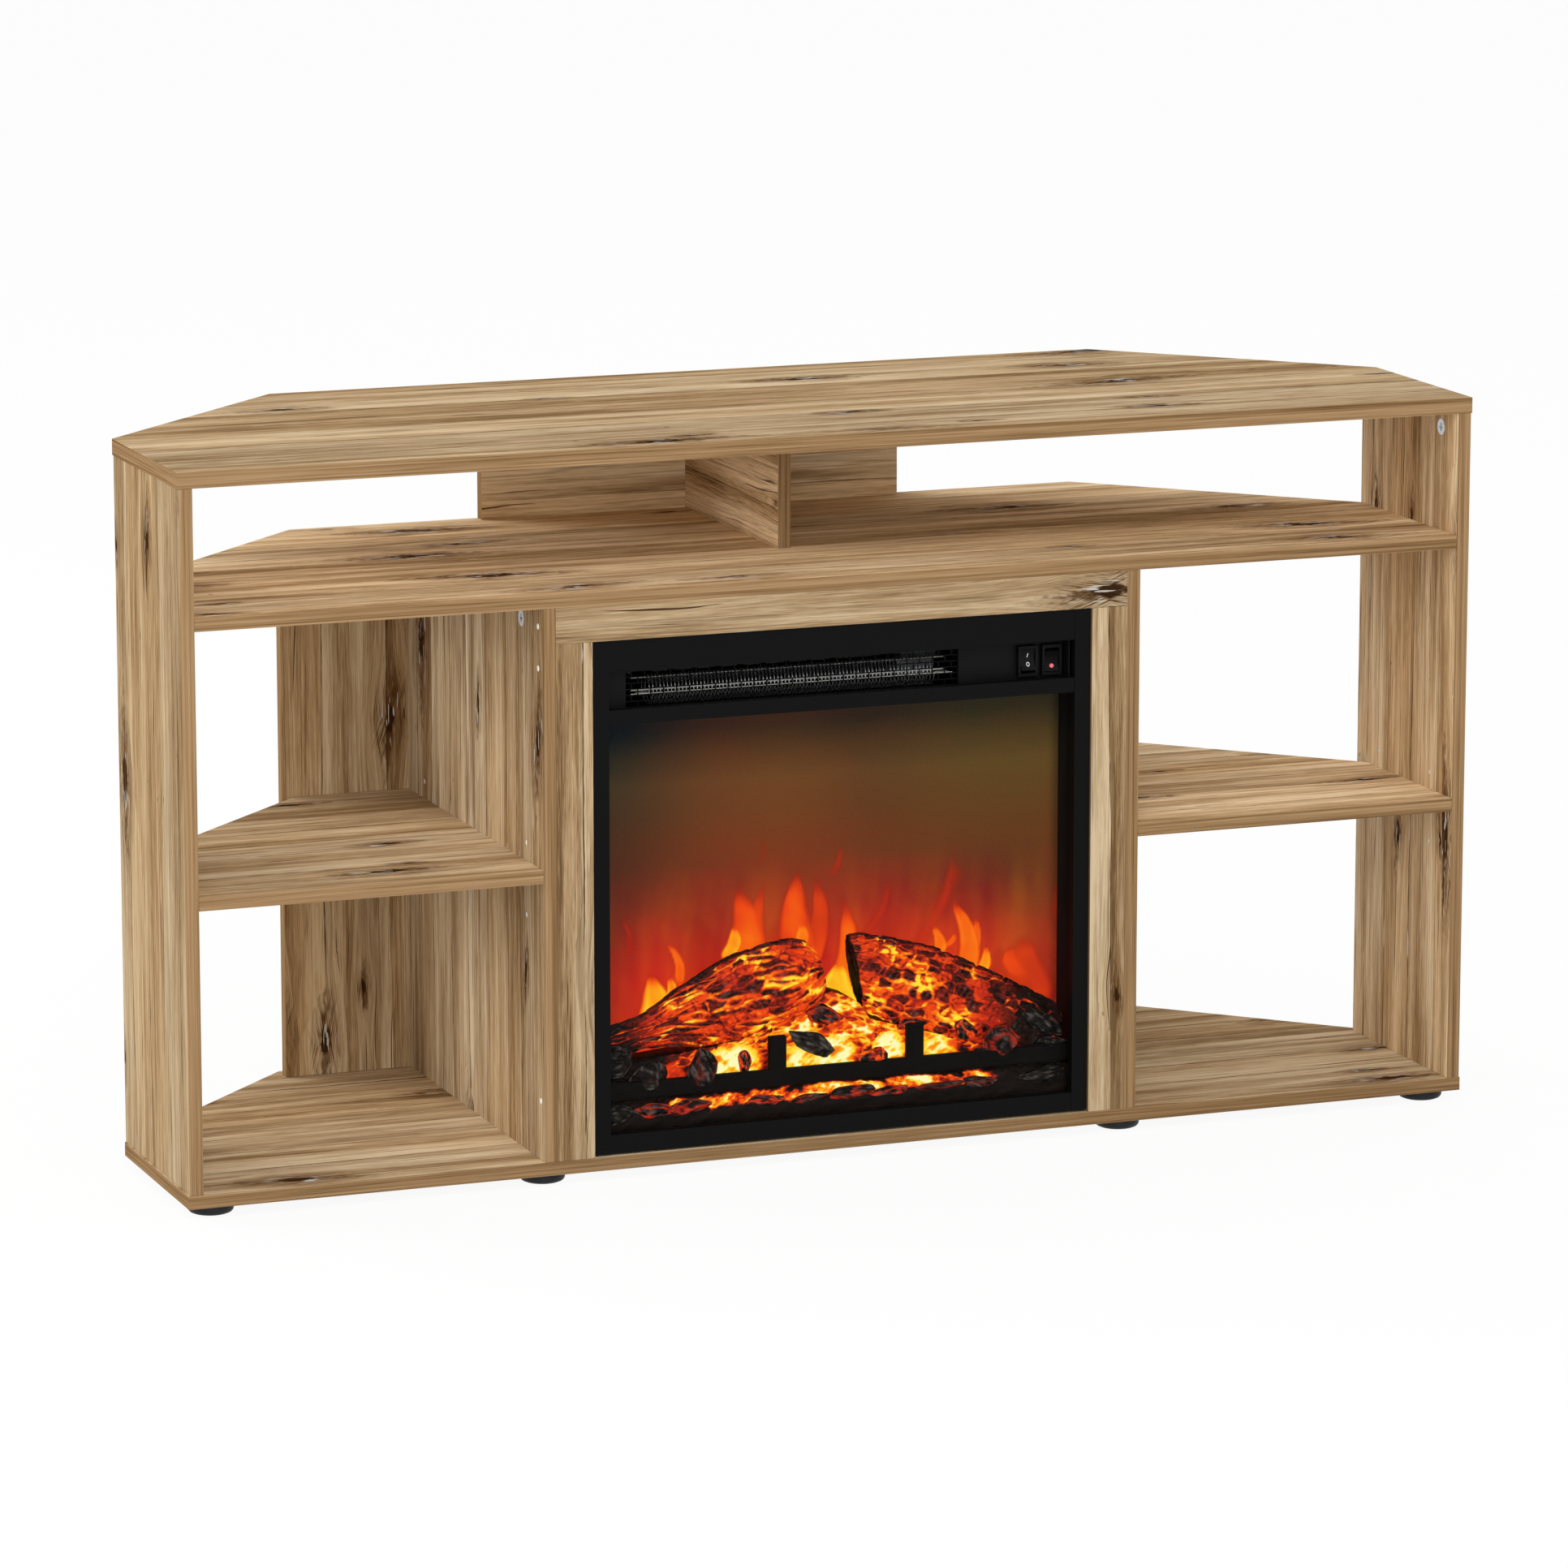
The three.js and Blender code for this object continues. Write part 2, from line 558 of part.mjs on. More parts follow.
// Four walls of folded sheet with a bearing cup for the flame rotor on the left wall.
function insertCase() {
  const half = CASE_WIDTH / 2;
  const shell = standingPlate(
    rectangle(-half, half, 0, CASE_HEIGHT), CASE_DEPTH,
    [rectangle(-half + SHEET, half - SHEET, SHEET, CASE_HEIGHT - SHEET)],
  ).translate(0, CASE_FRONT_Y, JOINT_GAP);
  const cup = cut(
    barAlongX(BEARING_RADIUS, -CASE_INNER_X - SHEET / 2, BEARING_LENGTH, ROTOR_Y, ROTOR_Z),
    [barAlongX(ROTOR_AXLE_RADIUS + AXLE_GAP, -CASE_INNER_X, BEARING_LENGTH, ROTOR_Y, ROTOR_Z)],
  );
  return join([shell, cup]);
}

function backCover() {
  const half = CASE_WIDTH / 2;
  const ventTop = CASE_HEIGHT - VENT_DROP;
  const slots = Array.from({ length: VENT_COUNT }, (_, i) => {
    const x = (i - (VENT_COUNT - 1) / 2) * VENT_PITCH + BLOWER_X;
    return rectangle(x - VENT_WIDTH / 2, x + VENT_WIDTH / 2, ventTop - VENT_HEIGHT, ventTop);
  });
  const gland = Array.from({ length: HOLE_SEGMENTS }, (_, i) => {
    const angle = (i / HOLE_SEGMENTS) * 2 * Math.PI;
    const radius = GLAND_RADIUS + SEAT_GAP;
    return [GLAND_X + radius * Math.cos(angle), GLAND_Z + radius * Math.sin(angle)];
  });
  return standingPlate(rectangle(-half, half, 0, CASE_HEIGHT), SHEET, [...slots, gland]);
}

// Bush for the mains lead: a neck through the cover, a flange outside it and a nose.
function cordGland() {
  const neck = SHEET + 2 * JOINT_GAP;
  const profile = [
    [GLAND_BORE, -OVERRUN], [GLAND_RADIUS, -OVERRUN], [GLAND_RADIUS, neck], [GLAND_FLANGE_RADIUS, neck],
    [GLAND_FLANGE_RADIUS, neck + GLAND_FLANGE_THICKNESS],
    [GLAND_RADIUS, neck + GLAND_FLANGE_THICKNESS + GLAND_NOSE],
    [GLAND_BORE, neck + GLAND_FLANGE_THICKNESS + GLAND_NOSE], [GLAND_BORE, -OVERRUN],
  ].map(([r, h]) => new THREE.Vector2(r, h));
  return new THREE.LatheGeometry(profile, HOLE_SEGMENTS);
}

// Floor of the heater chamber with a bearing lug for the blower.
function blowerTray() {
  const half = CASE_INNER_X - SEAT_GAP;
  const lugX = BLOWER_X - BLOWER_LENGTH / 2 - LUG_DISTANCE - LUG_THICKNESS;
  const lug = block(
    lugX, lugX + LUG_THICKNESS, BLOWER_Y - LUG_WIDTH / 2, BLOWER_Y + LUG_WIDTH / 2,
    TRAY_Z - TRAY_THICKNESS / 2, BLOWER_Z + LUG_WIDTH / 2,
  );
  return join([
    block(-half, half, CASE_FRONT_Y + TRAY_FRONT_INSET, CASE_BACK_Y - SEAT_GAP, TRAY_Z - TRAY_THICKNESS, TRAY_Z),
    cut(lug, [barAlongX(AXLE_RADIUS + AXLE_GAP, lugX - OVERRUN, LUG_THICKNESS + 2 * OVERRUN, BLOWER_Y, BLOWER_Z)]),
  ]);
}

// Recessed tray with the heater outlet and the two switch openings, and a return on each side.
function controlFascia() {
  const half = FASCIA_WIDTH / 2;
  const z0 = TRAY_Z + JOINT_GAP;
  const neckX = SWITCH_NECK_WIDTH / 2 + SEAT_GAP;
  const neckZ = SWITCH_NECK_HEIGHT / 2 + SEAT_GAP;
  const holes = [
    rectangle(OUTLET_X - OUTLET_WIDTH / 2, OUTLET_X + OUTLET_WIDTH / 2, OUTLET_Z, OUTLET_Z + OUTLET_HEIGHT),
    ...[SWITCH_X, SWITCH_X + SWITCH_PITCH].map(
      (x) => rectangle(x - neckX, x + neckX, SWITCH_Z - neckZ, SWITCH_Z + neckZ),
    ),
  ];
  const plate = standingPlate(
    rectangle(-half, half, z0, z0 + FASCIA_HEIGHT), FASCIA_THICKNESS, holes,
  ).translate(0, FASCIA_Y, 0);
  const sideReturn = (x0) => block(
    x0, x0 + FASCIA_RETURN, FRAME_BACK_Y + SEAT_GAP, FASCIA_Y + FASCIA_THICKNESS / 2, z0, z0 + FASCIA_HEIGHT,
  );
  return join([plate, sideReturn(-half), sideReturn(half - FASCIA_RETURN)]);
}

// Mesh over the heater outlet: openings laid like bricks, every other row shifted by half an opening.
function heaterGrille() {
  const pitchX = OUTLET_WIDTH / GRILLE_COLUMNS;
  const pitchZ = OUTLET_HEIGHT / GRILLE_ROWS;
  const holes = [];
  for (let row = 0; row < GRILLE_ROWS; row += 1) {
    const shifted = row % 2;
    const z0 = row * pitchZ + GRILLE_WIRE / 2;
    for (let column = 0; column < GRILLE_COLUMNS - shifted; column += 1) {
      const x0 = (column + shifted / 2) * pitchX - OUTLET_WIDTH / 2 + GRILLE_WIRE / 2;
      holes.push(rectangle(x0, x0 + pitchX - GRILLE_WIRE, z0, z0 + pitchZ - GRILLE_WIRE));
    }
  }
  const half = OUTLET_WIDTH / 2 + GRILLE_MARGIN;
  const foot = TRAY_Z + JOINT_GAP - OUTLET_Z;
  return standingPlate(rectangle(-half, half, foot, OUTLET_HEIGHT + GRILLE_MARGIN), GRILLE_THICKNESS, holes);
}

// Ceramic rod held at both ends by an upright holder that stands on the tray.
function heaterCore() {
  const half = HOLDER_SPAN / 2;
  const holder = (x) => block(
    x, x + HOLDER_THICKNESS, -HOLDER_WIDTH / 2, HOLDER_WIDTH / 2, TRAY_Z + JOINT_GAP - HEATER_Z, HOLDER_RISE,
  );
  return join([
    barAlongX(ROD_RADIUS, -half + HOLDER_THICKNESS / 2, HOLDER_SPAN - HOLDER_THICKNESS, 0, 0),
    holder(-half), holder(half - HOLDER_THICKNESS),
  ]);
}

// Helix along X with a straight lead at each end.
class HeaterWire extends THREE.Curve {
  constructor(lead) {
    super();
    this.lead = lead;
    this.leadShare = lead / (2 * lead + 2 * Math.PI * COIL_RADIUS * COIL_TURNS);
  }

  getPoint(share, target = new THREE.Vector3()) {
    const wound = Math.min(1, Math.max(0, (share - this.leadShare) / (1 - 2 * this.leadShare)));
    const before = Math.min(1, share / this.leadShare);
    const after = Math.max(0, (share - 1 + this.leadShare) / this.leadShare);
    const angle = wound * COIL_TURNS * 2 * Math.PI;
    return target.set(
      (before - 1 + after) * this.lead + wound * COIL_LENGTH - COIL_LENGTH / 2,
      COIL_RADIUS * Math.cos(angle),
      COIL_RADIUS * Math.sin(angle),
    );
  }
}

function heaterCoil() {
  const lead = (HOLDER_SPAN - COIL_LENGTH) / 2 - HOLDER_THICKNESS - SEAT_GAP;
  const wire = new HeaterWire(lead);
  const steps = Math.round(COIL_STEPS_PER_TURN * COIL_TURNS / (1 - 2 * wire.leadShare));
  wire.arcLengthDivisions = steps * COIL_STEPS_PER_TURN;
  const section = outline(Array.from({ length: WIRE_SIDES }, (_, i) => {
    const angle = (i / WIRE_SIDES) * 2 * Math.PI;
    return [WIRE_RADIUS * Math.cos(angle), WIRE_RADIUS * Math.sin(angle)];
  }));
  return new THREE.ExtrudeGeometry(section, { steps, extrudePath: wire, bevelEnabled: false });
}

// The least gap of the wire to itself, over points of its middle line at least half a turn apart.
function leastCoilGap() {
  const places = Array.from({ length: 3 * COIL_STEPS_PER_TURN + 1 }, (_, i) => {
    const turns = i / COIL_STEPS_PER_TURN;
    const angle = turns * 2 * Math.PI;
    const point = new THREE.Vector3(
      (turns * COIL_LENGTH) / COIL_TURNS, COIL_RADIUS * Math.cos(angle), COIL_RADIUS * Math.sin(angle),
    );
    return { turns, point };
  });
  const distances = places.flatMap((a) => places
    .filter((b) => Math.abs(a.turns - b.turns) >= 1 / 2)
    .map((b) => a.point.distanceTo(b.point)));
  return Math.min(...distances) - 2 * WIRE_RADIUS;
}

// Housing of a rocker switch: a raised bezel in front, a neck through the fascia and two terminals.
function switchBody() {
  const bezelX = BEZEL_WIDTH / 2;
  const bezelZ = BEZEL_HEIGHT / 2;
  const neckX = SWITCH_NECK_WIDTH / 2;
  const neckZ = SWITCH_NECK_HEIGHT / 2;
  const bezelBack = -JOINT_GAP;
  const back = SWITCH_NECK_DEPTH;
  const pocketX = ROCKER_WIDTH / 2 + ROCKER_SIDE_GAP;
  const pocketZ = ROCKER_HEIGHT / 2 + ROCKER_END_GAP;
  const pocketBack = FASCIA_THICKNESS / 2 + ROCKER_BACK_HEIGHT / 2 + ROCKER_END_GAP;
  const socket = pocketX + TRUNNION_LENGTH;
  const terminal = (z) => block(
    -TERMINAL_WIDTH / 2, TERMINAL_WIDTH / 2, back - TERMINAL_THICKNESS, back + TERMINAL_LENGTH,
    z - TERMINAL_THICKNESS / 2, z + TERMINAL_THICKNESS / 2,
  );
  const body = join([
    block(-bezelX, bezelX, -BEZEL_RAISE, bezelBack, -bezelZ, bezelZ),
    block(-neckX, neckX, bezelBack - JOINT_GAP, back, -neckZ, neckZ),
    terminal(TERMINAL_PITCH / 2),
    terminal(-TERMINAL_PITCH / 2),
  ]);
  return cut(body, [
    block(-pocketX, pocketX, -BEZEL_RAISE - OVERRUN, pocketBack, -pocketZ, pocketZ),
    barAlongX(TRUNNION_RADIUS + ROCKER_SIDE_GAP, -socket, 2 * socket, FASCIA_THICKNESS / 2, 0),
  ]);
}

// Rocker about its pivot at the origin: a shallow V in front, its pivot pins at both sides.
function rocker(withLensBore) {
  const halfZ = ROCKER_HEIGHT / 2;
  const backZ = ROCKER_BACK_HEIGHT / 2;
  const halfX = ROCKER_WIDTH / 2;
  const key = sectionAlongX([
    [-ROCKER_FRONT, halfZ], [ROCKER_HOLLOW - ROCKER_FRONT, 0], [-ROCKER_FRONT, -halfZ],
    [ROCKER_BACK, -backZ], [ROCKER_BACK, backZ],
  ], -halfX, halfX);
  const pinSpan = halfX + TRUNNION_LENGTH;
  const whole = join([key, barAlongX(TRUNNION_RADIUS, -pinSpan, 2 * pinSpan, 0, 0)]);
  if (!withLensBore) return whole;
  const bore = new THREE.CylinderGeometry(LENS_RADIUS + SEAT_GAP, LENS_RADIUS + SEAT_GAP, LENS_LENGTH * 2, HOLE_SEGMENTS);
  placeLens(bore, LENS_LENGTH - LENS_PROUD + SEAT_GAP - LENS_LENGTH);
  return cut(whole, [bore]);
}

// Sets a cylinder square to the rocker's lower face, its middle at the given depth behind that face.
function placeLens(geometry, depth) {
  const slope = Math.atan2(ROCKER_HOLLOW, ROCKER_HEIGHT / 2);
  const y = ROCKER_HOLLOW / 2 - ROCKER_FRONT;
  geometry.translate(0, depth, 0).rotateX(-slope).translate(0, y, -ROCKER_HEIGHT / 4);
}

function lens() {
  const geometry = new THREE.CylinderGeometry(LENS_RADIUS, LENS_RADIUS, LENS_LENGTH, HOLE_SEGMENTS);
  placeLens(geometry, LENS_LENGTH / 2 - LENS_PROUD);
  return geometry;
}

// Blower wheel: blades around a ring between two end discs, on one axle.
function blowerWheel() {
  const half = BLOWER_LENGTH / 2;
  const blades = Array.from({ length: BLOWER_BLADES }, (_, i) => block(
    -half, half, BLOWER_RADIUS - BLADE_DEPTH, BLOWER_RADIUS - BLADE_THICKNESS, -BLADE_THICKNESS / 2, BLADE_THICKNESS / 2,
  ).rotateX((i / BLOWER_BLADES) * 2 * Math.PI));
  const axleStart = -half - LUG_DISTANCE - LUG_THICKNESS - LUG_OVERHANG;
  const axleEnd = half + LUG_DISTANCE + MOTOR_SOCKET - OVERRUN;
  return join([
    barAlongX(BLOWER_RADIUS, -half, BLOWER_DISC, 0, 0, ROUND_SEGMENTS),
    barAlongX(BLOWER_RADIUS, half - BLOWER_DISC, BLOWER_DISC, 0, 0, ROUND_SEGMENTS),
    barAlongX(AXLE_RADIUS, axleStart, axleEnd - axleStart, 0, 0),
    ...blades,
  ]);
}

// Motor with a socket in its left face, on a block that stands on the tray.
function blowerMotor() {
  const footZ = TRAY_Z + JOINT_GAP - BLOWER_Z;
  return cut(join([
    barAlongX(MOTOR_RADIUS, 0, MOTOR_LENGTH, 0, 0, ROUND_SEGMENTS),
    block(0, MOTOR_LENGTH, -MOTOR_FOOT_WIDTH / 2, MOTOR_FOOT_WIDTH / 2, footZ, 0),
  ]), [barAlongX(AXLE_RADIUS + AXLE_GAP, -OVERRUN, MOTOR_SOCKET + OVERRUN, 0, 0)]);
}

// Solid of revolution along X, flattened front to back, for a moulded log.
function logBody(length, radius, growth, profileShares) {
  const profile = profileShares.map(([along, out]) => new THREE.Vector2(
    out === 0 ? 0 : out * radius + growth,
    along * length + Math.sign(along - 1 / 2) * growth,
  ));
  return new THREE.LatheGeometry(profile, LOG_SEGMENTS)
    .rotateZ(-Math.PI / 2)
    .scale(1, LOG_FLATTEN_SHARE, 1);
}

const LEFT_LOG_SHARES = [
  [0, 0], [0.03, 0.3], [0.112, 0.385], [0.219, 0.365], [0.291, 0.47], [0.365, 0.605], [0.446, 0.745],
  [0.521, 0.853], [0.596, 0.936], [0.672, 1], [0.745, 1], [0.813, 0.99], [0.867, 0.943], [0.913, 0.868],
  [0.958, 0.72], [0.992, 0.45], [1, 0],
];
const RIGHT_LOG_SHARES = [
  [0, 0], [0.01, 0.6], [0.057, 0.74], [0.18, 0.895], [0.32, 1], [0.47, 0.974], [0.623, 0.92],
  [0.779, 0.83], [0.92, 0.71], [0.97, 0.53], [1, 0],
];

// A log where it lies. The right one is sawn off nearly upright where the two lean together.
function placedLog(isLeft, growth) {
  if (isLeft) {
    return logBody(LEFT_LOG_LENGTH, LEFT_LOG_RADIUS, growth, LEFT_LOG_SHARES)
      .rotateY(-LEFT_LOG_TILT)
      .translate(LEFT_LOG_X, LOG_Y, LEFT_LOG_Z);
  }
  const body = logBody(RIGHT_LOG_LENGTH, RIGHT_LOG_RADIUS, growth, RIGHT_LOG_SHARES)
    .rotateY(-RIGHT_LOG_TILT)
    .translate(RIGHT_LOG_X, LOG_Y, RIGHT_LOG_Z);
  const reach = RIGHT_LOG_RADIUS * 2;
  const sawn = block(-reach, -growth, -reach, reach, -reach, reach)
    .rotateY(RIGHT_LOG_END_LEAN)
    .translate(RIGHT_LOG_END_X, LOG_Y, RIGHT_LOG_END_Z);
  return cut(body, [sawn]);
}

// Moulded ember bed: a mound behind a low apron, hollowed where the logs lie.
function emberBed() {
  const half = CASE_INNER_X - SEAT_GAP;
  const floor = CASE_FLOOR_Z + JOINT_GAP;
  const rise = BED_HEIGHT - floor;
  const mound = [
    [-1, 0.5], [-0.88, 0.6], [-0.66, 0.64], [-0.4, 0.7], [-0.18, 0.83], [-0.05, 0.97], [0.01, 1],
    [0.07, 0.96], [0.12, 0.9], [0.16, 0.78], [0.3, 0.7], [0.44, 0.62], [0.66, 0.5], [0.8, 0.42], [1, 0.36],
  ].map(([x, z]) => [x * half, floor + z * rise]);
  const hill = standingPlate(
    [[-half, floor], [half, floor], ...mound.reverse()], BED_BACK_Y - BED_STEP_Y,
  ).translate(0, BED_STEP_Y, 0);
  const step = BED_STEP_Y - BED_FRONT_Y;
  const apron = sectionAlongX([
    [BED_FRONT_Y, floor], [BED_STEP_Y + OVERRUN, floor], [BED_STEP_Y + OVERRUN, APRON_HEIGHT],
    [BED_STEP_Y - step / 3, APRON_HEIGHT - step / 3], [BED_FRONT_Y, APRON_HEIGHT - step],
  ], -half, half);
  return cut(join([hill, apron]), [placedLog(true, SEAT_GAP), placedLog(false, SEAT_GAP)]);
}

// Front bar of the grate with two short posts.
function fireGrate() {
  const half = CASE_INNER_X - SEAT_GAP;
  const back = GRATE_Y + GRATE_DEPTH;
  const top = GRATE_BAR_Z + GRATE_BAR_HEIGHT;
  const post = (x) => block(
    x - GRATE_POST_WIDTH / 2, x + GRATE_POST_WIDTH / 2, GRATE_Y, back, top - OVERRUN, top + GRATE_POST_HEIGHT,
  );
  return join([
    block(-half, half, GRATE_Y, back, GRATE_BAR_Z, top),
    post(GRATE_POSTS_X - GRATE_POST_REACH), post(GRATE_POSTS_X + GRATE_POST_REACH),
  ]);
}

// Reflector spindle of the flame effect: an axle with paddles turned one after another.
function flameRotor() {
  const half = ROTOR_LENGTH / 2;
  const start = -CASE_INNER_X + SEAT_GAP;
  const end = half + SEAT_GAP + MOTOR_SOCKET;
  const paddles = Array.from({ length: ROTOR_PADDLES }, (_, i) => {
    const x = -half + (i + 1 / 2) * (ROTOR_LENGTH / ROTOR_PADDLES);
    return block(
      x - PADDLE_LENGTH / 2, x + PADDLE_LENGTH / 2, -BLADE_THICKNESS / 2, BLADE_THICKNESS / 2,
      -ROTOR_RADIUS, ROTOR_RADIUS,
    ).rotateX(i * PADDLE_TWIST);
  });
  return join([barAlongX(ROTOR_AXLE_RADIUS, start, end - start, 0, 0), ...paddles]);
}

// Gear motor of the flame effect on the right wall, with a socket for the axle.
function rotorMotor() {
  const start = CASE_INNER_X - SEAT_GAP - ROTOR_MOTOR_LENGTH;
  return cut(
    barAlongX(ROTOR_MOTOR_RADIUS, start, ROTOR_MOTOR_LENGTH, 0, 0, ROUND_SEGMENTS),
    [barAlongX(
      ROTOR_AXLE_RADIUS + AXLE_GAP, start - OVERRUN, ROTOR_MOTOR_LENGTH - OVERRUN, 0, 0,
    )],
  );
}

function ledStrip() {
  const half = LED_STRIP_LENGTH / 2;
  const pitch = LED_STRIP_LENGTH / LED_COUNT;
  const lamps = Array.from({ length: LED_COUNT }, (_, i) => {
    const x = -half + (i + 1 / 2) * pitch;
    return block(
      x - LED_SIZE / 2, x + LED_SIZE / 2, -LED_SIZE / 2, LED_SIZE / 2,
      LED_STRIP_THICKNESS / 2, LED_STRIP_THICKNESS + LED_RISE,
    );
  });
  return join([
    block(-half, half, -LED_STRIP_WIDTH / 2, LED_STRIP_WIDTH / 2, 0, LED_STRIP_THICKNESS), ...lamps,
  ]);
}

function addHeaterChamber(insert) {
  piece(insert, 'blower_tray', blowerTray(), bareSteel);
  piece(insert, 'control_fascia', controlFascia(), blackPlastic);
  piece(insert, 'heater_grille', heaterGrille(), blackPaint)
    .position.set(OUTLET_X, FASCIA_BACK_Y + JOINT_GAP, OUTLET_Z);
  piece(insert, 'heater_core', heaterCore(), ceramic).position.set(HEATER_X, HEATER_Y, HEATER_Z);
  piece(insert, 'heater_coil', heaterCoil(), bareSteel).position.set(HEATER_X, HEATER_Y, HEATER_Z);
  piece(insert, 'blower_wheel', blowerWheel(), blackPlastic).position.set(BLOWER_X, BLOWER_Y, BLOWER_Z);
  piece(insert, 'blower_motor', blowerMotor(), bareSteel)
    .position.set(BLOWER_X + BLOWER_LENGTH / 2 + LUG_DISTANCE, BLOWER_Y, BLOWER_Z);
}

function addSwitches(insert) {
  const switches = [
    ['power', SWITCH_X, -ROCKER_TILT, false],
    ['heat', SWITCH_X + SWITCH_PITCH, ROCKER_TILT, true],
  ];
  for (const [name, x, tilt, lit] of switches) {
    piece(insert, `${name}_switch_body`, switchBody(), blackPlastic).position.set(x, FASCIA_Y, SWITCH_Z);
    const lever = new THREE.Group();
    lever.position.set(x, PIVOT_Y, SWITCH_Z);
    lever.rotation.x = tilt;
    insert.add(lever);
    piece(lever, `${name}_rocker`, rocker(lit), blackPlastic);
    if (lit) piece(lever, 'pilot_lens', lens(), redLens);
  }
}

function addFire(insert) {
  const glassHalf = OPENING_WIDTH / 2 + GLASS_MARGIN;
  const glass = block(
    -glassHalf, glassHalf, 0, GLASS_THICKNESS, -GLASS_MARGIN, GLASS_OPENING_HEIGHT + GLASS_MARGIN,
  );
  piece(insert, 'glass_panel', glass, clearGlass).position.set(0, CASE_FRONT_Y, GLASS_OPENING_Z);
  const screenHalf = CASE_INNER_X - SEAT_GAP;
  const screen = block(
    -screenHalf, screenHalf, 0, SCREEN_THICKNESS, CASE_FLOOR_Z + SEAT_GAP, TRAY_Z - TRAY_THICKNESS - SEAT_GAP,
  );
  piece(insert, 'flame_screen', screen, flameScreen).position.y = SCREEN_Y;
  piece(insert, 'left_log', placedLog(true, 0), charredLog);
  piece(insert, 'right_log', placedLog(false, 0), charredLog);
  piece(insert, 'ember_bed', emberBed(), embers);
  piece(insert, 'fire_grate', fireGrate(), blackPaint);
  piece(insert, 'flame_rotor', flameRotor(), mirrorFoil).position.set(0, ROTOR_Y, ROTOR_Z);
  piece(insert, 'rotor_motor', rotorMotor(), bareSteel).position.set(0, ROTOR_Y, ROTOR_Z);
  piece(insert, 'led_strip', ledStrip(), boardGreen).position.set(0, LED_STRIP_Y, CASE_FLOOR_Z + JOINT_GAP);
}

function addInsert(stand) {
  const insert = new THREE.Group();
  insert.position.z = BAY_Z;
  stand.add(insert);
  piece(insert, 'front_frame', frontFrame(), blackPaint);
  piece(insert, 'insert_case', insertCase(), blackPaint);
  piece(insert, 'insert_back_cover', backCover(), bareSteel)
    .position.set(0, CASE_BACK_Y + JOINT_GAP, JOINT_GAP);
  piece(insert, 'cord_gland', cordGland(), blackPlastic)
    .position.set(GLAND_X, CASE_BACK_Y + JOINT_GAP, JOINT_GAP + GLAND_Z);
  addHeaterChamber(insert);
  addSwitches(insert);
  addFire(insert);
}

const model = new THREE.Group();
const stand = new THREE.Group();
stand.position.y = -STAND_DEPTH / 2;
model.add(stand);
addBoards(stand);
addRails(stand);
addSideShelves(stand);
addCams(stand);
addFeet(stand);
addInsert(stand);
console.log(`least gap between the turns of the heating wire: ${leastCoilGap().toFixed(2)} mm`);

export default model;
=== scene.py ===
"""Looks of the corner television stand with its electric fireplace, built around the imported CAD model."""
import math

import bpy
import numpy as np
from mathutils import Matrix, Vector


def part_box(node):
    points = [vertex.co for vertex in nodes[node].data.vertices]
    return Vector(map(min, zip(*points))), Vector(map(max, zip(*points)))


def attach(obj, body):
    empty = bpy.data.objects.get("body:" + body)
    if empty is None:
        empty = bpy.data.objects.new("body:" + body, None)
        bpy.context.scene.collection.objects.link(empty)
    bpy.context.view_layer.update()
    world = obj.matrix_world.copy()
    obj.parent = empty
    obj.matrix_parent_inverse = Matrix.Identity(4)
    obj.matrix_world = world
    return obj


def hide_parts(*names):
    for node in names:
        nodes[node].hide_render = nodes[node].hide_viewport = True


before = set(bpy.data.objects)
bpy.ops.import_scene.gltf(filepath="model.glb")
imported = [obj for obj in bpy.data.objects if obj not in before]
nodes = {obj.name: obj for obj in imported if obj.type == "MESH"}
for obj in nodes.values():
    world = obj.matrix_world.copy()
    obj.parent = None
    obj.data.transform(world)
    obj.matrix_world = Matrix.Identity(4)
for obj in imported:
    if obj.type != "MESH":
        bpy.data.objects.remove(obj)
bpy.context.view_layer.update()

MM = 0.001
X, Y, Z = 0, 1, 2
FRONT_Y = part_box("top_panel")[0][1]
BAY_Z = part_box("bottom_panel")[1][2]


# ---------------------------------------------------------------- shader maths
class Val:
    """A socket of a shader graph; an operator adds the Math node that works it out."""

    def __init__(self, graph, socket):
        self.graph, self.socket = graph, socket

    def calc(self, operation, *values):
        return self.graph.node("ShaderNodeMath", dict(enumerate(values)), operation=operation)

    def __add__(self, other): return self.calc("ADD", self, other)
    def __sub__(self, other): return self.calc("SUBTRACT", self, other)
    def __rsub__(self, other): return self.calc("SUBTRACT", other, self)
    def __mul__(self, other): return self.calc("MULTIPLY", self, other)
    def __truediv__(self, other): return self.calc("DIVIDE", self, other)
    def __pow__(self, other): return self.calc("POWER", self, other)
    def __neg__(self): return self.calc("MULTIPLY", self, -1.0)
    def __abs__(self): return self.calc("ABSOLUTE", self)
    def __gt__(self, other): return self.calc("GREATER_THAN", self, other)
    def floor(self): return self.calc("FLOOR", self)
    def fract(self): return self.calc("FRACT", self)
    def root(self): return self.calc("SQRT", self)
    def exp(self): return self.calc("EXPONENT", self)
    def least(self, other): return self.calc("MINIMUM", self, other)
    def most(self, other): return self.calc("MAXIMUM", self, other)
    __radd__, __rmul__ = __add__, __mul__


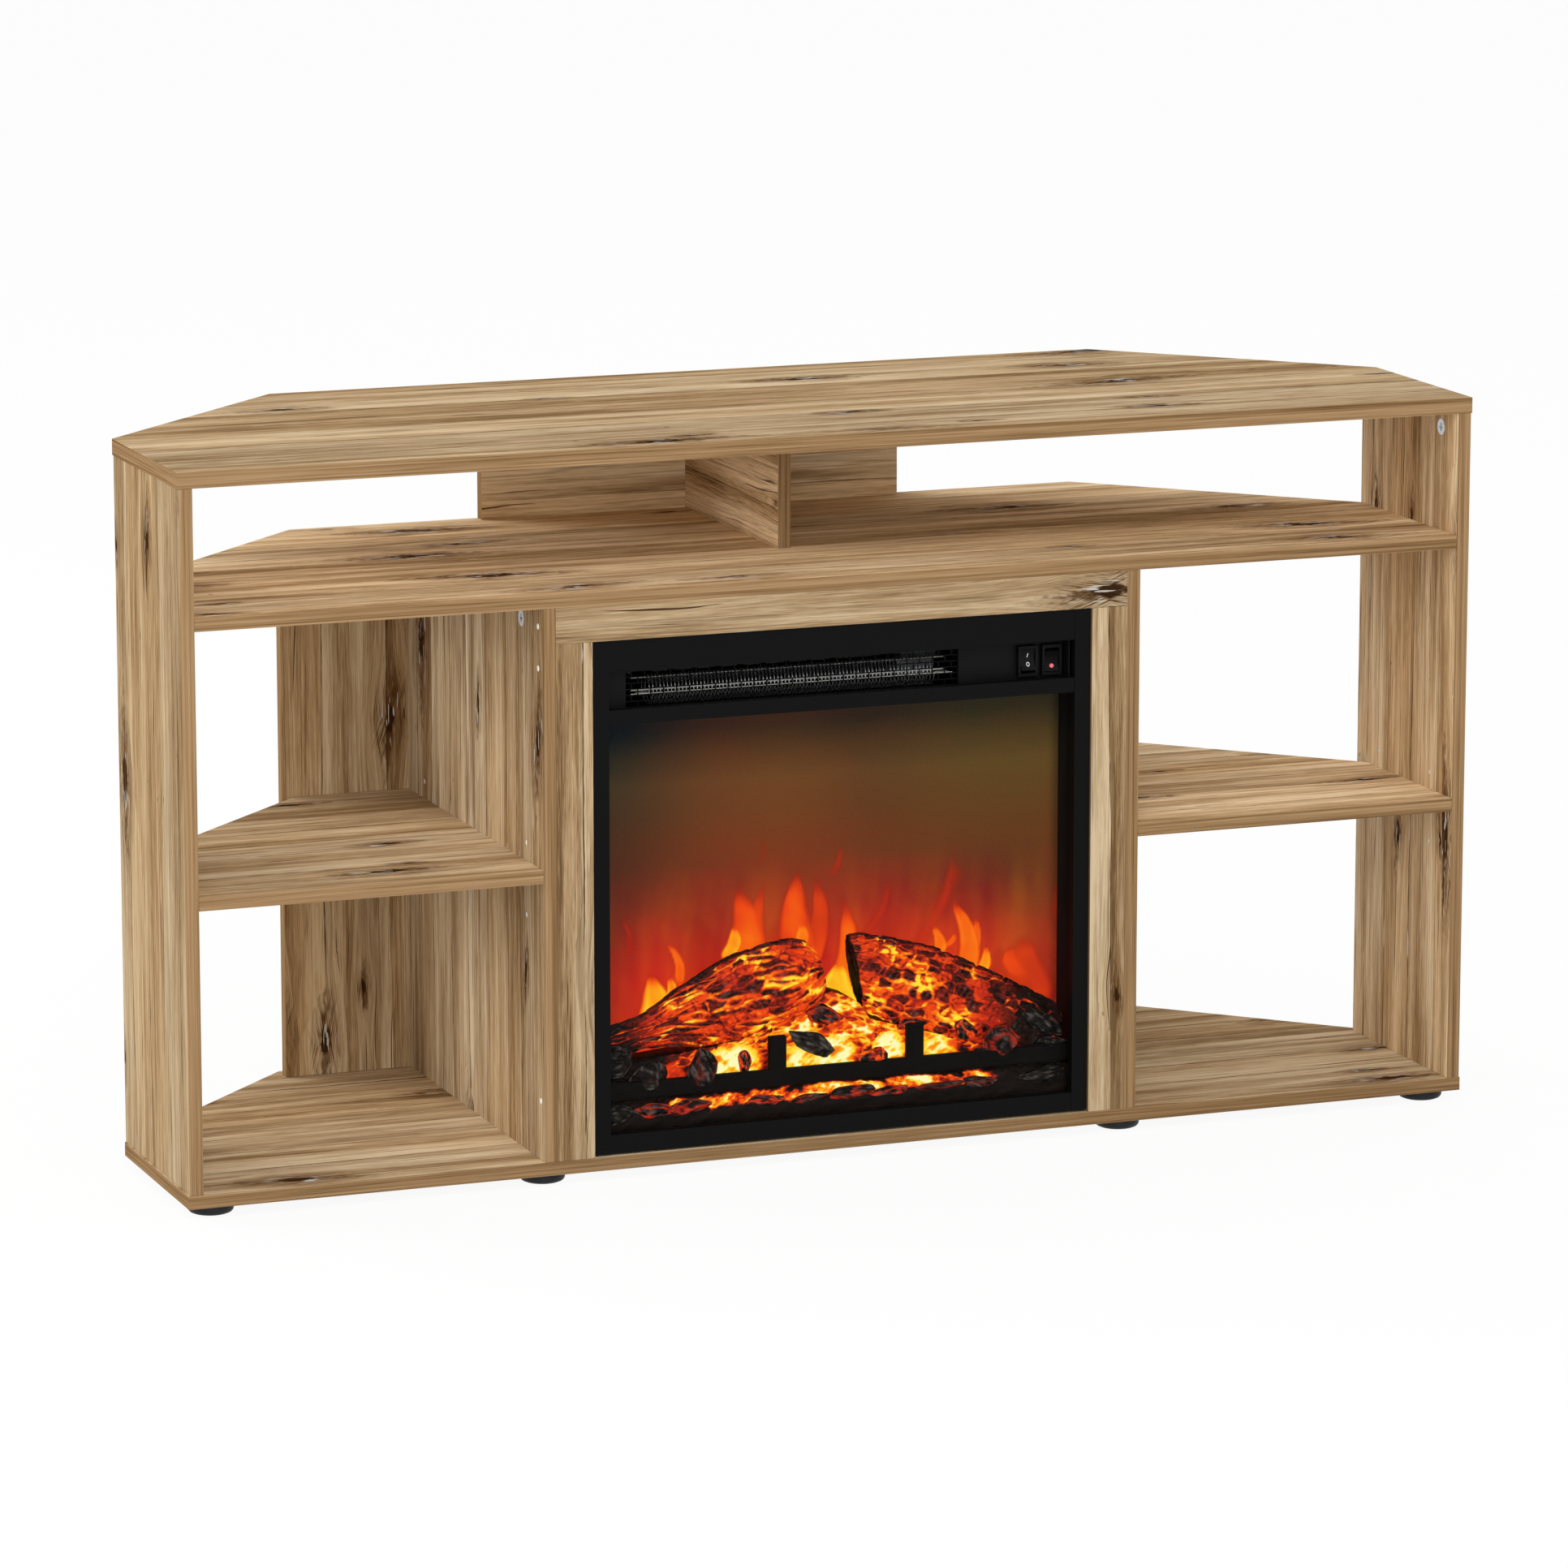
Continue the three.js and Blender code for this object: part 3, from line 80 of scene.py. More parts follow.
class Finish:
    """A material under construction, or the nodes of the tree given."""

    def __init__(self, name=None, tree=None):
        if tree is None:
            self.material = bpy.data.materials.new(name)
            self.material.use_nodes = True
            tree = self.material.node_tree
        self.tree = tree
        self.tree.nodes.clear()

    def feed(self, slot, value):
        if isinstance(value, Val):
            self.tree.links.new(value.socket, slot)
        elif isinstance(value, (tuple, list)) and slot.type == "RGBA" and len(value) == 3:
            slot.default_value = (*value, 1.0)
        else:
            slot.default_value = value

    def node(self, kind, inputs=None, out=0, stops=(), **settings):
        """Adds a node: settings first, then the values or links of its inputs, by name or number. Gives the output
        asked for, or a list where out is a tuple."""
        made = self.tree.nodes.new(kind)
        for key, value in settings.items():
            setattr(made, key, value)
        while stops and len(made.color_ramp.elements) < len(stops):
            made.color_ramp.elements.new(0.5)
        for element, (place, colour) in zip(made.color_ramp.elements if stops else (), stops):
            element.position, element.color = place, (*colour, 1.0)
        for key, value in (inputs or {}).items():
            self.feed(made.inputs[key], value)
        if isinstance(out, tuple):
            return [Val(self, made.outputs[key]) for key in out]
        return Val(self, made.outputs[out]) if len(made.outputs) else None

    def place(self, out="Object"):
        return self.node("ShaderNodeTexCoord", out=out)

    def split(self, vector):
        return self.node("ShaderNodeSeparateXYZ", {0: vector}, out=(0, 1, 2))

    def vector(self, x, y, z):
        return self.node("ShaderNodeCombineXYZ", {0: x, 1: y, 2: z})

    def noise(self, vector, detail=2.0, rough=0.5, warp=0.0, scale=1.0):
        return self.node("ShaderNodeTexNoise", {
            "Vector": vector, "Scale": scale, "Detail": detail, "Roughness": rough, "Distortion": warp})

    def grain(self, x, y, z, *settings):
        """Noise of three stretched coordinates."""
        return self.noise(self.vector(x, y, z), *settings)

    def chance(self, x, y, z):
        """An even random number for each whole x."""
        return self.node("ShaderNodeTexWhiteNoise", {"Vector": self.vector(x, y, z)}, out="Value",
                         noise_dimensions="3D")

    def smooth(self, value, low, high, to_low=0.0, to_high=1.0):
        return self.node("ShaderNodeMapRange", {0: value, 1: low, 2: high, 3: to_low, 4: to_high},
                         interpolation_type="SMOOTHSTEP")

    def ramp(self, value, stops):
        return self.node("ShaderNodeValToRGB", {0: value}, stops=stops)

    def mix(self, share, first, second, blend="MIX"):
        return self.node("ShaderNodeMix", {0: share, 6: first, 7: second}, out=2, data_type="RGBA", blend_type=blend)

    def bump(self, height, distance, strength=1.0):
        return self.node("ShaderNodeBump", {"Height": height, "Distance": distance, "Strength": strength})

    def attribute(self, name):
        return self.node("ShaderNodeAttribute", out="Color", attribute_name=name)

    def blend(self, share, first, second):
        return self.node("ShaderNodeMixShader", {0: share, 1: first, 2: second})

    def seen(self):
        """1 for rays from the camera and for those in gloss and glass, 0 for the rest."""
        camera, glossy, through = self.node(
            "ShaderNodeLightPath", out=("Is Camera Ray", "Is Glossy Ray", "Is Transmission Ray"))
        return camera.most(glossy).most(through)

    def finish(self, shader=None, **inputs):
        """Ends the material with a Principled shader that takes these inputs, or with the shader given."""
        if shader is None:
            shader = self.node("ShaderNodeBsdfPrincipled", {key.replace("_", " "): v for key, v in inputs.items()})
        self.node("ShaderNodeOutputMaterial", {"Surface": shader})
        return self.material


def tone(red, green, blue):
    """Linear colour of an sRGB one given in 0 to 255."""
    return tuple((c / 255 / 12.92) if c / 255 <= 0.04045 else ((c / 255 + 0.055) / 1.055) ** 2.4
                 for c in (red, green, blue))


# ---------------------------------------------------------------- oak boards
def oak(name, grain, across, through, seed, lift, pallor):
    """Rustic oak print: strips side by side, each with its own tone, streaks and fibres, dark knots that the
    grain bends round and that throw out feathered lines, smoky patches, and cracks along some joints, a few
    with pale filler. Edges wear a straight-grained band. The axes are 0, 1 or 2. Lift scales the face that looks
    up or to the front or left. This is painted light: it is higher on boards whose seen face lies in the shade of the
    bays and lower on the fully lit outer ones, and it also evens out the print's tone between boards. Pallor makes the
    whole board paler and less red."""
    f = Finish(name)
    xyz = f.split(f.place())
    normal = f.split(f.place("Normal"))
    g, a, b = xyz[grain] + seed * 1.37, xyz[across] + seed * 0.731, xyz[through]

    drift = f.grain(g * 1.1, a * 2.0, seed * 3.1, 1.0) - 0.5
    wave = f.grain(a * 9.0, seed * 5.3, 0.0, 0.0) - 0.5
    wobble = f.grain(g * 14.0, a * 3.0, seed, 1.0) - 0.5
    strip = a / STRIP_WIDTH + drift * 0.5 + wave * 1.4 + wobble * 0.05
    index = strip.floor()
    inside = strip.fract()
    joint = inside.least(1.0 - inside) * 0.052
    chance = f.chance(index, seed * 1.7, 3.0)
    luck = f.chance(index, seed * 2.9, 8.0)
    along = g + chance * 4.0

    cell, lot = f.node("ShaderNodeTexVoronoi", {
        "Vector": f.vector(g / KNOT_SPACING[0], a / KNOT_SPACING[1], 0.0), "Scale": 1.0, "Randomness": 0.9},
        out=("Position", "Color"), voronoi_dimensions="2D")
    centre, lot = f.split(cell), f.split(lot)
    from_u = g - centre[0] * KNOT_SPACING[0]
    from_v = a - centre[1] * KNOT_SPACING[1]
    size = 0.38 + lot[1] ** 1.6 * 0.95
    lean = (lot[2] - 0.5) * 0.24
    side = from_v + from_u * lean
    reach = ((from_u / (size * KNOT_HALF[0])) ** 2.0 + (side / (size * KNOT_HALF[1])) ** 2.0).root()
    has_knot = f.smooth(lot[0], 0.48, 0.52)
    bulge = (-(reach ** 2.0) * 0.075).exp() * has_knot
    bent = a - side * bulge * 0.8

    broad = f.grain(along * 2.0, bent * 44.0, b * 44.0, 2.0, 0.5)
    middle = f.grain(along * 3.2, bent * 130.0, b * 130.0, 3.0, 0.6)
    fine = f.grain(along * 12.0, bent * 480.0, b * 480.0, 3.0, 0.65)
    fibre = f.grain(along * 45.0, bent * 1300.0, b * 1300.0, 2.0, 0.6)
    rings = f.grain(along * 0.9, bent * 34.0, b * 34.0, 2.0, 0.5, 0.1)
    vein = f.smooth(1.0 - abs((rings * 9.0).fract() * 2.0 - 1.0), 0.72, 1.0)
    smoke = f.grain(along * 2.6 + 9.0, bent * 44.0, seed, 3.0, 0.62)

    shade = (0.52 + (broad - 0.5) * 1.10 + (middle - 0.5) * 0.58 + (fine - 0.5) * 0.86 + (fibre - 0.5) * 0.70
             + (chance - 0.5) * 0.24)
    body = f.ramp(shade, [
        (0.08, tone(108, 82, 53)), (0.26, tone(141, 112, 77)), (0.42, tone(167, 138, 101)),
        (0.55, tone(184, 156, 119)), (0.70, tone(200, 174, 137)), (0.90, tone(216, 194, 159))])
    tinted = f.mix(f.smooth(luck, 0.1, 0.9) * 0.5, body, f.mix(1.0, body, tone(255, 243, 224), "MULTIPLY"))
    veined = f.mix(vein * f.smooth(middle, 0.40, 0.62) * 0.40, tinted, tone(116, 88, 58))
    smoky = f.mix(f.smooth(smoke, 0.55, 0.70) * f.smooth(fine, 0.25, 0.62) * 0.78, veined, tone(104, 72, 40))

    ragged = f.grain(g * 90.0, a * 260.0, seed, 2.0) - 0.5
    core = f.smooth(reach + ragged * 1.5, 1.05, 0.60) * has_knot
    smear = ((from_u / (size * SMEAR_HALF[0])) ** 2.0 + (side / (size * SMEAR_HALF[1])) ** 2.0).root() + ragged * 1.6
    tail = f.smooth(smear, 1.0, 0.30) * f.smooth(fine, 0.34, 0.56) * has_knot
    halo = f.smooth(reach + ragged * 2.0, 4.2, 1.0) * has_knot
    spread = side - abs(from_u * (lot[1] * 0.28 + 0.06)) * f.smooth(side, -0.002, 0.002, -1.0, 1.0)
    lashes = f.grain(g * 24.0, spread * 760.0, seed + 4.0, 2.0, 0.6)
    knotted = f.mix(halo * (0.22 + f.smooth(lashes, 0.50, 0.58) * 0.74), smoky, tone(90, 57, 27))
    knotted = f.mix(tail * 0.80, knotted, tone(82, 50, 23))
    knotted = f.mix(core * 0.95, knotted, tone(54, 31, 13))

    hair = f.grain(along * 5.0 + 3.0, bent * 430.0, seed + 9.0, 3.0, 0.62)
    knotted = f.mix(f.smooth(hair, 0.56, 0.66) * 0.50, knotted, tone(108, 80, 51))
    bow = f.grain(g * 9.0, a * 20.0, seed + 6.0, 1.0) * 0.010
    dashes = f.grain(along * 5.0 + 5.0, (bent + bow) * 300.0, seed + 7.0, 2.0, 0.6)
    cracks = f.smooth(dashes, 0.665, 0.690)
    cracked = f.mix(cracks * 0.92, knotted, tone(68, 40, 19))
    specks = f.grain(g * 40.0, a * 110.0, seed + 2.0, 1.0)
    cracked = f.mix(f.smooth(specks, 0.78, 0.82) * 0.8, cracked, tone(74, 48, 29))

    run = f.grain(g * 3.4, index * 3.7, seed, 1.0)
    thick = f.grain(g * 60.0, index * 2.3, seed, 1.0)
    glue = f.smooth(joint - thick * 0.0012, 0.0003, -0.0002) * f.smooth(run, 0.47, 0.52)
    pale = f.smooth(f.grain(g * 13.0, index * 9.1, seed, 1.0), 0.66, 0.71)
    glued = f.mix(glue * 0.9, cracked, f.mix(pale, tone(62, 41, 26), tone(222, 217, 205)))
    filler = f.smooth(f.grain(g * 34.0, a * 360.0, seed + 1.0, 2.0), 0.60, 0.64) * f.smooth(reach, 2.4, 1.0)
    broad_face = f.mix(filler * has_knot * 0.8, glued, tone(216, 210, 198))

    line = f.grain(xyz[grain] * 2.4, xyz[across] * 2.4, b * 460.0 + seed, 3.0, 0.62)
    thread = f.grain(xyz[grain] * 14.0, xyz[across] * 14.0, b * 1500.0, 2.0, 0.6)
    band = f.ramp(0.5 + (line - 0.5) * 1.5 + (thread - 0.5) * 0.7, [
        (0.10, tone(88, 63, 39)), (0.36, tone(122, 94, 63)), (0.56, tone(142, 113, 80)), (0.85, tone(162, 133, 98))])
    # Painted light: the board's lift makes its seen face lighter where it lies in the shade of the bays and darker
    # where it is fully lit; the hidden faces keep PLAIN_LEVEL.
    facing = (normal[through] * (1.0 if through == Z else -1.0)) > 0.5
    level = facing * (lift - PLAIN_LEVEL) + PLAIN_LEVEL
    face_with_painted_light = f.mix(1.0, broad_face, f.vector(level, level * (1.0 + 0.055 * pallor), level * (1.0 + 0.16 * pallor)),
                  "MULTIPLY")
    colour = f.mix(f.smooth(abs(normal[through]), 0.6, 0.4), face_with_painted_light, band)
    relief = fine * 0.5 + fibre * 0.5 - cracks * 0.8 - core * 0.8 - glue * 0.5
    return f.finish(Base_Color=colour, Roughness=f.smooth(fine, 0.2, 0.8, 0.50, 0.62), Specular_IOR_Level=0.0,
                    Normal=f.bump(relief, 0.00015, 0.6))


# metres along and across the grain
KNOT_SPACING, KNOT_HALF, SMEAR_HALF, STRIP_WIDTH = (0.26, 0.062), (0.020, 0.0070), (0.090, 0.0085), 0.050
PLAIN_LEVEL = 0.95  # lift of the faces that aren't seen
BOARDS = {
    # grain, across and through axes, seed, lift and pallor; the lift is painted light on the seen face, higher where
    # it lies in the shade of the bays and lower where it is fully lit
    "top_panel": (X, Y, Z, 1.0, 0.93, 1.0), "bottom_panel": (X, Y, Z, 2.0, 1.08, 0.8),
    "tv_shelf": (X, Y, Z, 3.0, 1.70, 1.0), "left_shelf": (X, Y, Z, 4.0, 1.12, 1.0),
    "right_shelf": (X, Y, Z, 5.0, 1.66, 1.0), "header_rail": (X, Z, Y, 6.0, 0.67, 0.6),
    "upper_back_panel": (X, Z, Y, 7.0, 1.24, 0.0), "centre_divider": (Y, Z, X, 8.0, 1.45, 1.0),
    "left_side_panel": (Z, Y, X, 9.0, 0.72, 0.1), "right_side_panel": (Z, Y, X, 10.0, 1.48, 1.0),
    "left_divider": (Z, Y, X, 11.0, 0.97, 1.0), "right_divider": (Z, Y, X, 12.0, 0.95, 1.0),
    "lower_back_panel": (Z, X, Y, 13.0, 0.87, 0.0), "left_stile": (Z, X, Y, 14.0, 0.79, 1.0),
    "right_stile": (Z, X, Y, 15.0, 0.76, 0.8),
}


def wear(node, material):
    """Gives a CAD node its finish."""
    mesh = nodes[node].data
    mesh.materials.clear()
    mesh.materials.append(material)


for board, settings in BOARDS.items():
    wear(board, oak(f"oak_{board}", *settings))


# ---------------------------------------------------------------- plain finishes
def satin(name, colour, rough, metal=0.0, speckle=0.0, grain=900.0, depth=0.00004, sheen=0.5):
    """One colour with a fine uneven sheen and surface."""
    f = Finish(name)
    fine = f.noise(f.place(), 3.0, 0.6, scale=grain)
    cloud = f.noise(f.place(), 2.0, 0.5, scale=14.0)
    dark = tuple(c * (1.0 - speckle) for c in colour)
    return f.finish(Base_Color=f.mix(cloud * 0.6 + fine * 0.4, dark, colour), Metallic=metal,
                    Roughness=f.smooth(cloud, 0.3, 0.7, rough - 0.05, rough + 0.05),
                    Specular_IOR_Level=sheen, Normal=f.bump(fine, depth, 0.6))


black_paint = satin("black_paint", tone(11, 11, 11), 0.5, speckle=0.25, sheen=0.06)
black_plastic = satin("black_plastic", tone(14, 14, 15), 0.5, speckle=0.3, grain=1400.0, sheen=0.10)
dark_liner = satin("dark_liner", tone(16, 15, 14), 0.7, speckle=0.3, sheen=0.08)
rubber_black = satin("rubber_black", tone(24, 26, 29), 0.5, speckle=0.25, sheen=0.25)
zinc = satin("zinc", tone(205, 207, 210), 0.34, metal=0.85, speckle=0.12, grain=500.0)
steel = satin("plain_steel", tone(160, 164, 168), 0.42, metal=0.9, speckle=0.15)
bright_wire = satin("bright_wire", tone(176, 177, 179), 0.3, metal=0.8, speckle=0.1)
ceramic = satin("ceramic", tone(216, 212, 202), 0.6, speckle=0.1)
cream = satin("cream_plastic", tone(250, 247, 238), 0.5, speckle=0.04)
# Near black, darker than the paints around it: painted shade of the deep heater outlet, worn by the blower tray and
# the coil holders behind the grille.
painted_shade_black = satin("painted_shade_black", tone(4, 4, 4), 0.8, speckle=0.3, sheen=0.02)
lamp_board = satin("lamp_board", tone(232, 230, 222), 0.5, speckle=0.05)
foil = satin("mirror_foil", tone(214, 215, 217), 0.16, metal=1.0, speckle=0.1, grain=200.0)
white_print = satin("white_print", tone(236, 236, 236), 0.5, speckle=0.04)


def lens_finish():
    """Translucent red that glows, its tone clouded."""
    f = Finish("red_lens")
    cloud = f.noise(f.place(), 2.0, scale=700.0)
    glow = f.mix(cloud, tone(190, 52, 66), tone(232, 124, 132))
    return f.finish(Base_Color=glow, Roughness=0.25, Emission_Color=glow, Emission_Strength=0.30)


def pane_finish():
    """Clear glass: see-through with a faint sheen that grows at a glance."""
    f = Finish("clear_pane")
    clear = f.node("ShaderNodeBsdfTransparent", {"Color": tone(254, 253, 251)})
    sheen = f.node("ShaderNodeBsdfGlossy", {"Color": (0.8, 0.8, 0.8, 1.0), "Roughness": 0.06})
    edge = f.node("ShaderNodeFresnel", {"IOR": 1.33})
    return f.finish(shader=f.blend(edge * 0.06, clear, sheen))


def glow_finish(name, rough, sheen):
    """Colour attributes baked on the piece: 'paint' is what it reflects, 'glow' what it gives off, which on the bark
    and coals also holds a faint painted grey highlight.
    """
    f = Finish(name)
    fine = f.noise(f.place(), 4.0, 0.65, scale=420.0)
    paint = f.attribute("paint")
    return f.finish(Base_Color=f.mix(fine, f.mix(1.0, paint, (0.55, 0.55, 0.55), "MULTIPLY"), paint),
                    Roughness=rough, Specular_IOR_Level=sheen,
                    Emission_Color=f.attribute("glow"), Emission_Strength=1.0,
                    Normal=f.bump(fine, 0.0004, 0.5))


red_lens = lens_finish()
pane = pane_finish()
bark = glow_finish("charred_bark", 0.5, 0.05)
ember_mould = glow_finish("ember_mould", 0.6, 0.05)
flame_picture = glow_finish("flame_picture", 0.6, 0.0)

SIDES = ("left", "right")
CAMS = [f"{side}_{board}_cam" for side in SIDES for board in ("side", "divider")]
PINS = [f"{side}_pin_{place}" for side in SIDES
        for place in ("divider_front", "divider_back", "side_front", "side_back")]
FEET = [f"{side}_foot_{place}" for side in SIDES
        for place in ("front_outer", "front_inner", "rear_outer", "rear_inner")]
for material, worn in (
        (black_paint, ["front_frame", "heater_grille", "fire_grate"]),
        (black_plastic, ["cord_gland", "control_fascia", "power_switch_body", "heat_switch_body", "power_rocker",
                         "heat_rocker"]),
        (dark_liner, ["insert_case", "blower_wheel"]), (steel, ["insert_back_cover", "blower_motor", "rotor_motor"]),
        (painted_shade_black, ["blower_tray"]), (ceramic, ["heater_core"]), (bright_wire, ["heater_coil"]),
        (lamp_board, ["led_strip"]), (foil, ["flame_rotor"]), (flame_picture, ["flame_screen"]),
        (pane, ["glass_panel"]), (red_lens, ["pilot_lens"]), (bark, ["left_log", "right_log"]),
        (ember_mould, ["ember_bed"]), (zinc, CAMS + PINS), (rubber_black, FEET)):
    for node in worn:
        wear(node, material)


# ---------------------------------------------------------------- meshes
def stand_frame(points):
    """Points in millimetres, y behind the stand's front plane and z above the floor, to the row's metres."""
    placed = np.asarray(points, float) * MM
    placed[..., 1] += FRONT_Y
    return placed


def bay_frame(points):
    """Points in millimetres, z above the floor of the fireplace's bay, to the row's metres."""
    placed = stand_frame(points)
    placed[..., 2] += BAY_Z
    return placed


def closed(points, faces):
    """Merges the points that coincide at poles and seams: the points to keep, and the faces on them."""
    keys = np.round(points / (1e-4 * MM)).astype(np.int64)
    _, first, number = np.unique(keys, axis=0, return_index=True, return_inverse=True)
    faces = number.reshape(-1)[faces]
    return first, faces[(faces != np.roll(faces, -1, axis=1)).sum(1) > 2]


def make(name, vertices, quads, material, slot, body="stand", replaces=(), crease=None, weld=True, colours=None):
    """A mesh piece from arrays of vertices and of four-cornered faces, in metres. Edges sharper than the crease
    angle stay sharp."""
    mesh = bpy.data.meshes.new(name)
    vertices, quads = np.asarray(vertices, float).reshape(-1, 3), np.asarray(quads, np.int64)
    first = np.arange(len(vertices))
    if weld:
        first, quads = closed(vertices, quads)
    kept = quads != np.roll(quads, -1, axis=1)
    sides = kept.sum(1)
    mesh.vertices.add(len(first))
    mesh.vertices.foreach_set("co", vertices[first].astype(np.float32).ravel())
    mesh.loops.add(int(sides.sum()))
    mesh.loops.foreach_set("vertex_index", quads[kept].astype(np.int32))
    mesh.polygons.add(len(quads))
    mesh.polygons.foreach_set("loop_start", (np.cumsum(sides) - sides).astype(np.int32))
    mesh.polygons.foreach_set("use_smooth", np.full(len(quads), crease != 0))
    mesh.update(calc_edges=True)
    if crease:
        mesh.set_sharp_from_angle(angle=math.radians(crease))
    for key, values in (colours or {}).items():
        layer = mesh.color_attributes.new(key, "FLOAT_COLOR", "POINT")
        rgba = np.ones((len(first), 4), np.float32)
        rgba[:, :3] = np.asarray(values, np.float32).reshape(-1, 3)[first]
        layer.data.foreach_set("color", rgba.ravel())
    mesh.materials.append(material)
    mesh.update()
    piece = bpy.data.objects.new(name, mesh)
    bpy.context.scene.collection.objects.link(piece)
    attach(piece, body)
    if replaces:
        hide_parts(*replaces)
    return piece


def sheet_faces(rows, columns, wrap_rows=False, wrap_columns=False):
    """Quads of a rows by columns grid of vertices, joined round where asked."""
    i = np.arange(rows if wrap_rows else rows - 1)
    j = np.arange(columns if wrap_columns else columns - 1)
    i, j = (v.ravel() for v in np.meshgrid(i, j, indexing="ij"))
    i2, j2 = (i + 1) % rows, (j + 1) % columns
    return np.stack([i * columns + j, i2 * columns + j, i2 * columns + j2, i * columns + j2], 1)


def lathe(profile, steps, centre, axis=Z):
    """Profile points (radius, height) turned round the axis through centre: (r cos t, r sin t, h)."""
    profile = np.asarray(profile, float)
    t = np.arange(steps) * 2 * math.pi / steps
    radius, height = profile[:, :1], profile[:, 1:]
    local = np.stack([radius * np.cos(t), radius * np.sin(t), height + 0 * t], -1)
    order = {Z: (0, 1, 2), X: (2, 0, 1)}[axis]
    points = local[..., order] + np.asarray(centre, float)
    return points.reshape(-1, 3), sheet_faces(len(profile), steps, wrap_columns=True)[:, ::-1]


def bars(boxes):
    """Vertices and faces of blocks given as rows of x0, x1, y0, y1, z0, z1."""
    boxes = np.asarray(boxes, float)
    corner = np.array([[0, 0, 0], [1, 0, 0], [1, 1, 0], [0, 1, 0], [0, 0, 1], [1, 0, 1], [1, 1, 1], [0, 1, 1]])
    low, high = boxes[:, 0::2], boxes[:, 1::2]
    points = low[:, None] + corner[None] * (high - low)[:, None]
    face = np.array([[0, 3, 2, 1], [4, 5, 6, 7], [0, 1, 5, 4], [1, 2, 6, 5], [2, 3, 7, 6], [3, 0, 4, 7]])
    return points.reshape(-1, 3), (face[None] + 8 * np.arange(len(boxes))[:, None, None]).reshape(-1, 4)


def joined(*parts):
    """Several (vertices, faces) pairs as one."""
    vertices, faces, start = [], [], 0
    for points, quads in parts:
        vertices.append(np.asarray(points).reshape(-1, 3))
        faces.append(np.asarray(quads) + start)
        start += len(vertices[-1])
    return np.concatenate(vertices), np.concatenate(faces)


def rod(path, radius, sides):
    """A round bar along a path: p + r (cos t u + sin t v), with u and v square to the path; ends closed."""
    path = np.asarray(path, float)
    along = np.gradient(path, axis=0)
    along /= np.linalg.norm(along, axis=1, keepdims=True)
    guide = np.array([0.0, 0.0, 1.0]) if abs(along[:, 2]).max() < 0.95 else np.array([0.0, 1.0, 0.0])
    u = np.cross(along, guide)
    u /= np.linalg.norm(u, axis=1, keepdims=True)
    v = np.cross(along, u)
    t = np.arange(sides) * 2 * math.pi / sides
    ring = path[:, None] + radius * (np.cos(t)[:, None] * u[:, None] + np.sin(t)[:, None] * v[:, None])
    ring = np.concatenate([path[:1, None] + 0 * ring[:1], ring, path[-1:, None] + 0 * ring[:1]])
    return ring.reshape(-1, 3), sheet_faces(len(ring), sides, wrap_columns=True)[:, ::-1]


# ---------------------------------------------------------------- feet, holes and caps
FOOT_PROFILE = [(0, 0), (14.0, 0), (16.2, 0.15), (18.4, 1.1), (19.6, 2.6), (20.0, 4.4), (20.0, 8.6), (19.6, 9.4),
                (19.0, 9.8), (0, 9.8)]
for foot in FEET:
    low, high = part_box(foot)
    centre = (np.array(low) + np.array(high)) / 2
    points, faces = lathe(np.array(FOOT_PROFILE) * MM, 48, (centre[0], centre[1], low[2]))
    make(f"{foot}_pad", points, faces, rubber_black, slot="black_plastic", replaces=(foot,), crease=35)

PIN_PITCH = 32 * MM
DISC = np.array([(0, 0), (2.45, 0), (2.45, 0.6), (0, 0.6)]) * MM
CAP = np.array([(0, -0.2), (2.6, -0.2), (2.6, 0.25), (2.2, 0.5), (0, 0.6)]) * MM
SIDE_HOLES_Y, DIVIDER_HOLES_Y = (47, 154), (47, 330)
CAP_Y, CAPS_Z = 11.0, (493.2, 456.7, 74.7)
DISC_DEPTH, DISC_THICKNESS, ROUND = 0.3 * MM, 0.6 * MM, 20


def hole_linings():
    """Pale discs a little way inside the empty shelf pin holes, and shallow caps over the rail screws."""
    parts = []
    for side, sign in (("left", -1), ("right", 1)):
        side_inner = abs(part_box(f"{side}_side_panel")[0 if sign > 0 else 1][0])
        divider_outer = abs(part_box(f"{side}_divider")[1 if sign > 0 else 0][0])
        low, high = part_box(f"{side}_pin_side_front")
        pin_z = (low[2] + high[2]) / 2
        holes = [(side_inner, y, -1) for y in SIDE_HOLES_Y] + [(divider_outer, y, 1) for y in DIVIDER_HOLES_Y]
        for z in (pin_z - PIN_PITCH, pin_z + PIN_PITCH):
            for x, y, out in holes:
                face_x = sign * (x - out * DISC_DEPTH) - (DISC_THICKNESS if sign * out > 0 else 0.0)
                parts.append(lathe(DISC, ROUND, (face_x, FRONT_Y + y * MM, z), X))
        for z in CAPS_Z:
            points, faces = lathe(CAP, ROUND, (0, 0, 0), X)
            points[:, 0] = sign * (divider_outer + points[:, 0])
            points[:, 1] += FRONT_Y + CAP_Y * MM
            points[:, 2] += z * MM
            parts.append((points, faces if sign > 0 else faces[:, ::-1]))
    return joined(*parts)


make("pin_hole_linings_and_screw_caps", *hole_linings(), cream, slot="zinc", crease=35)


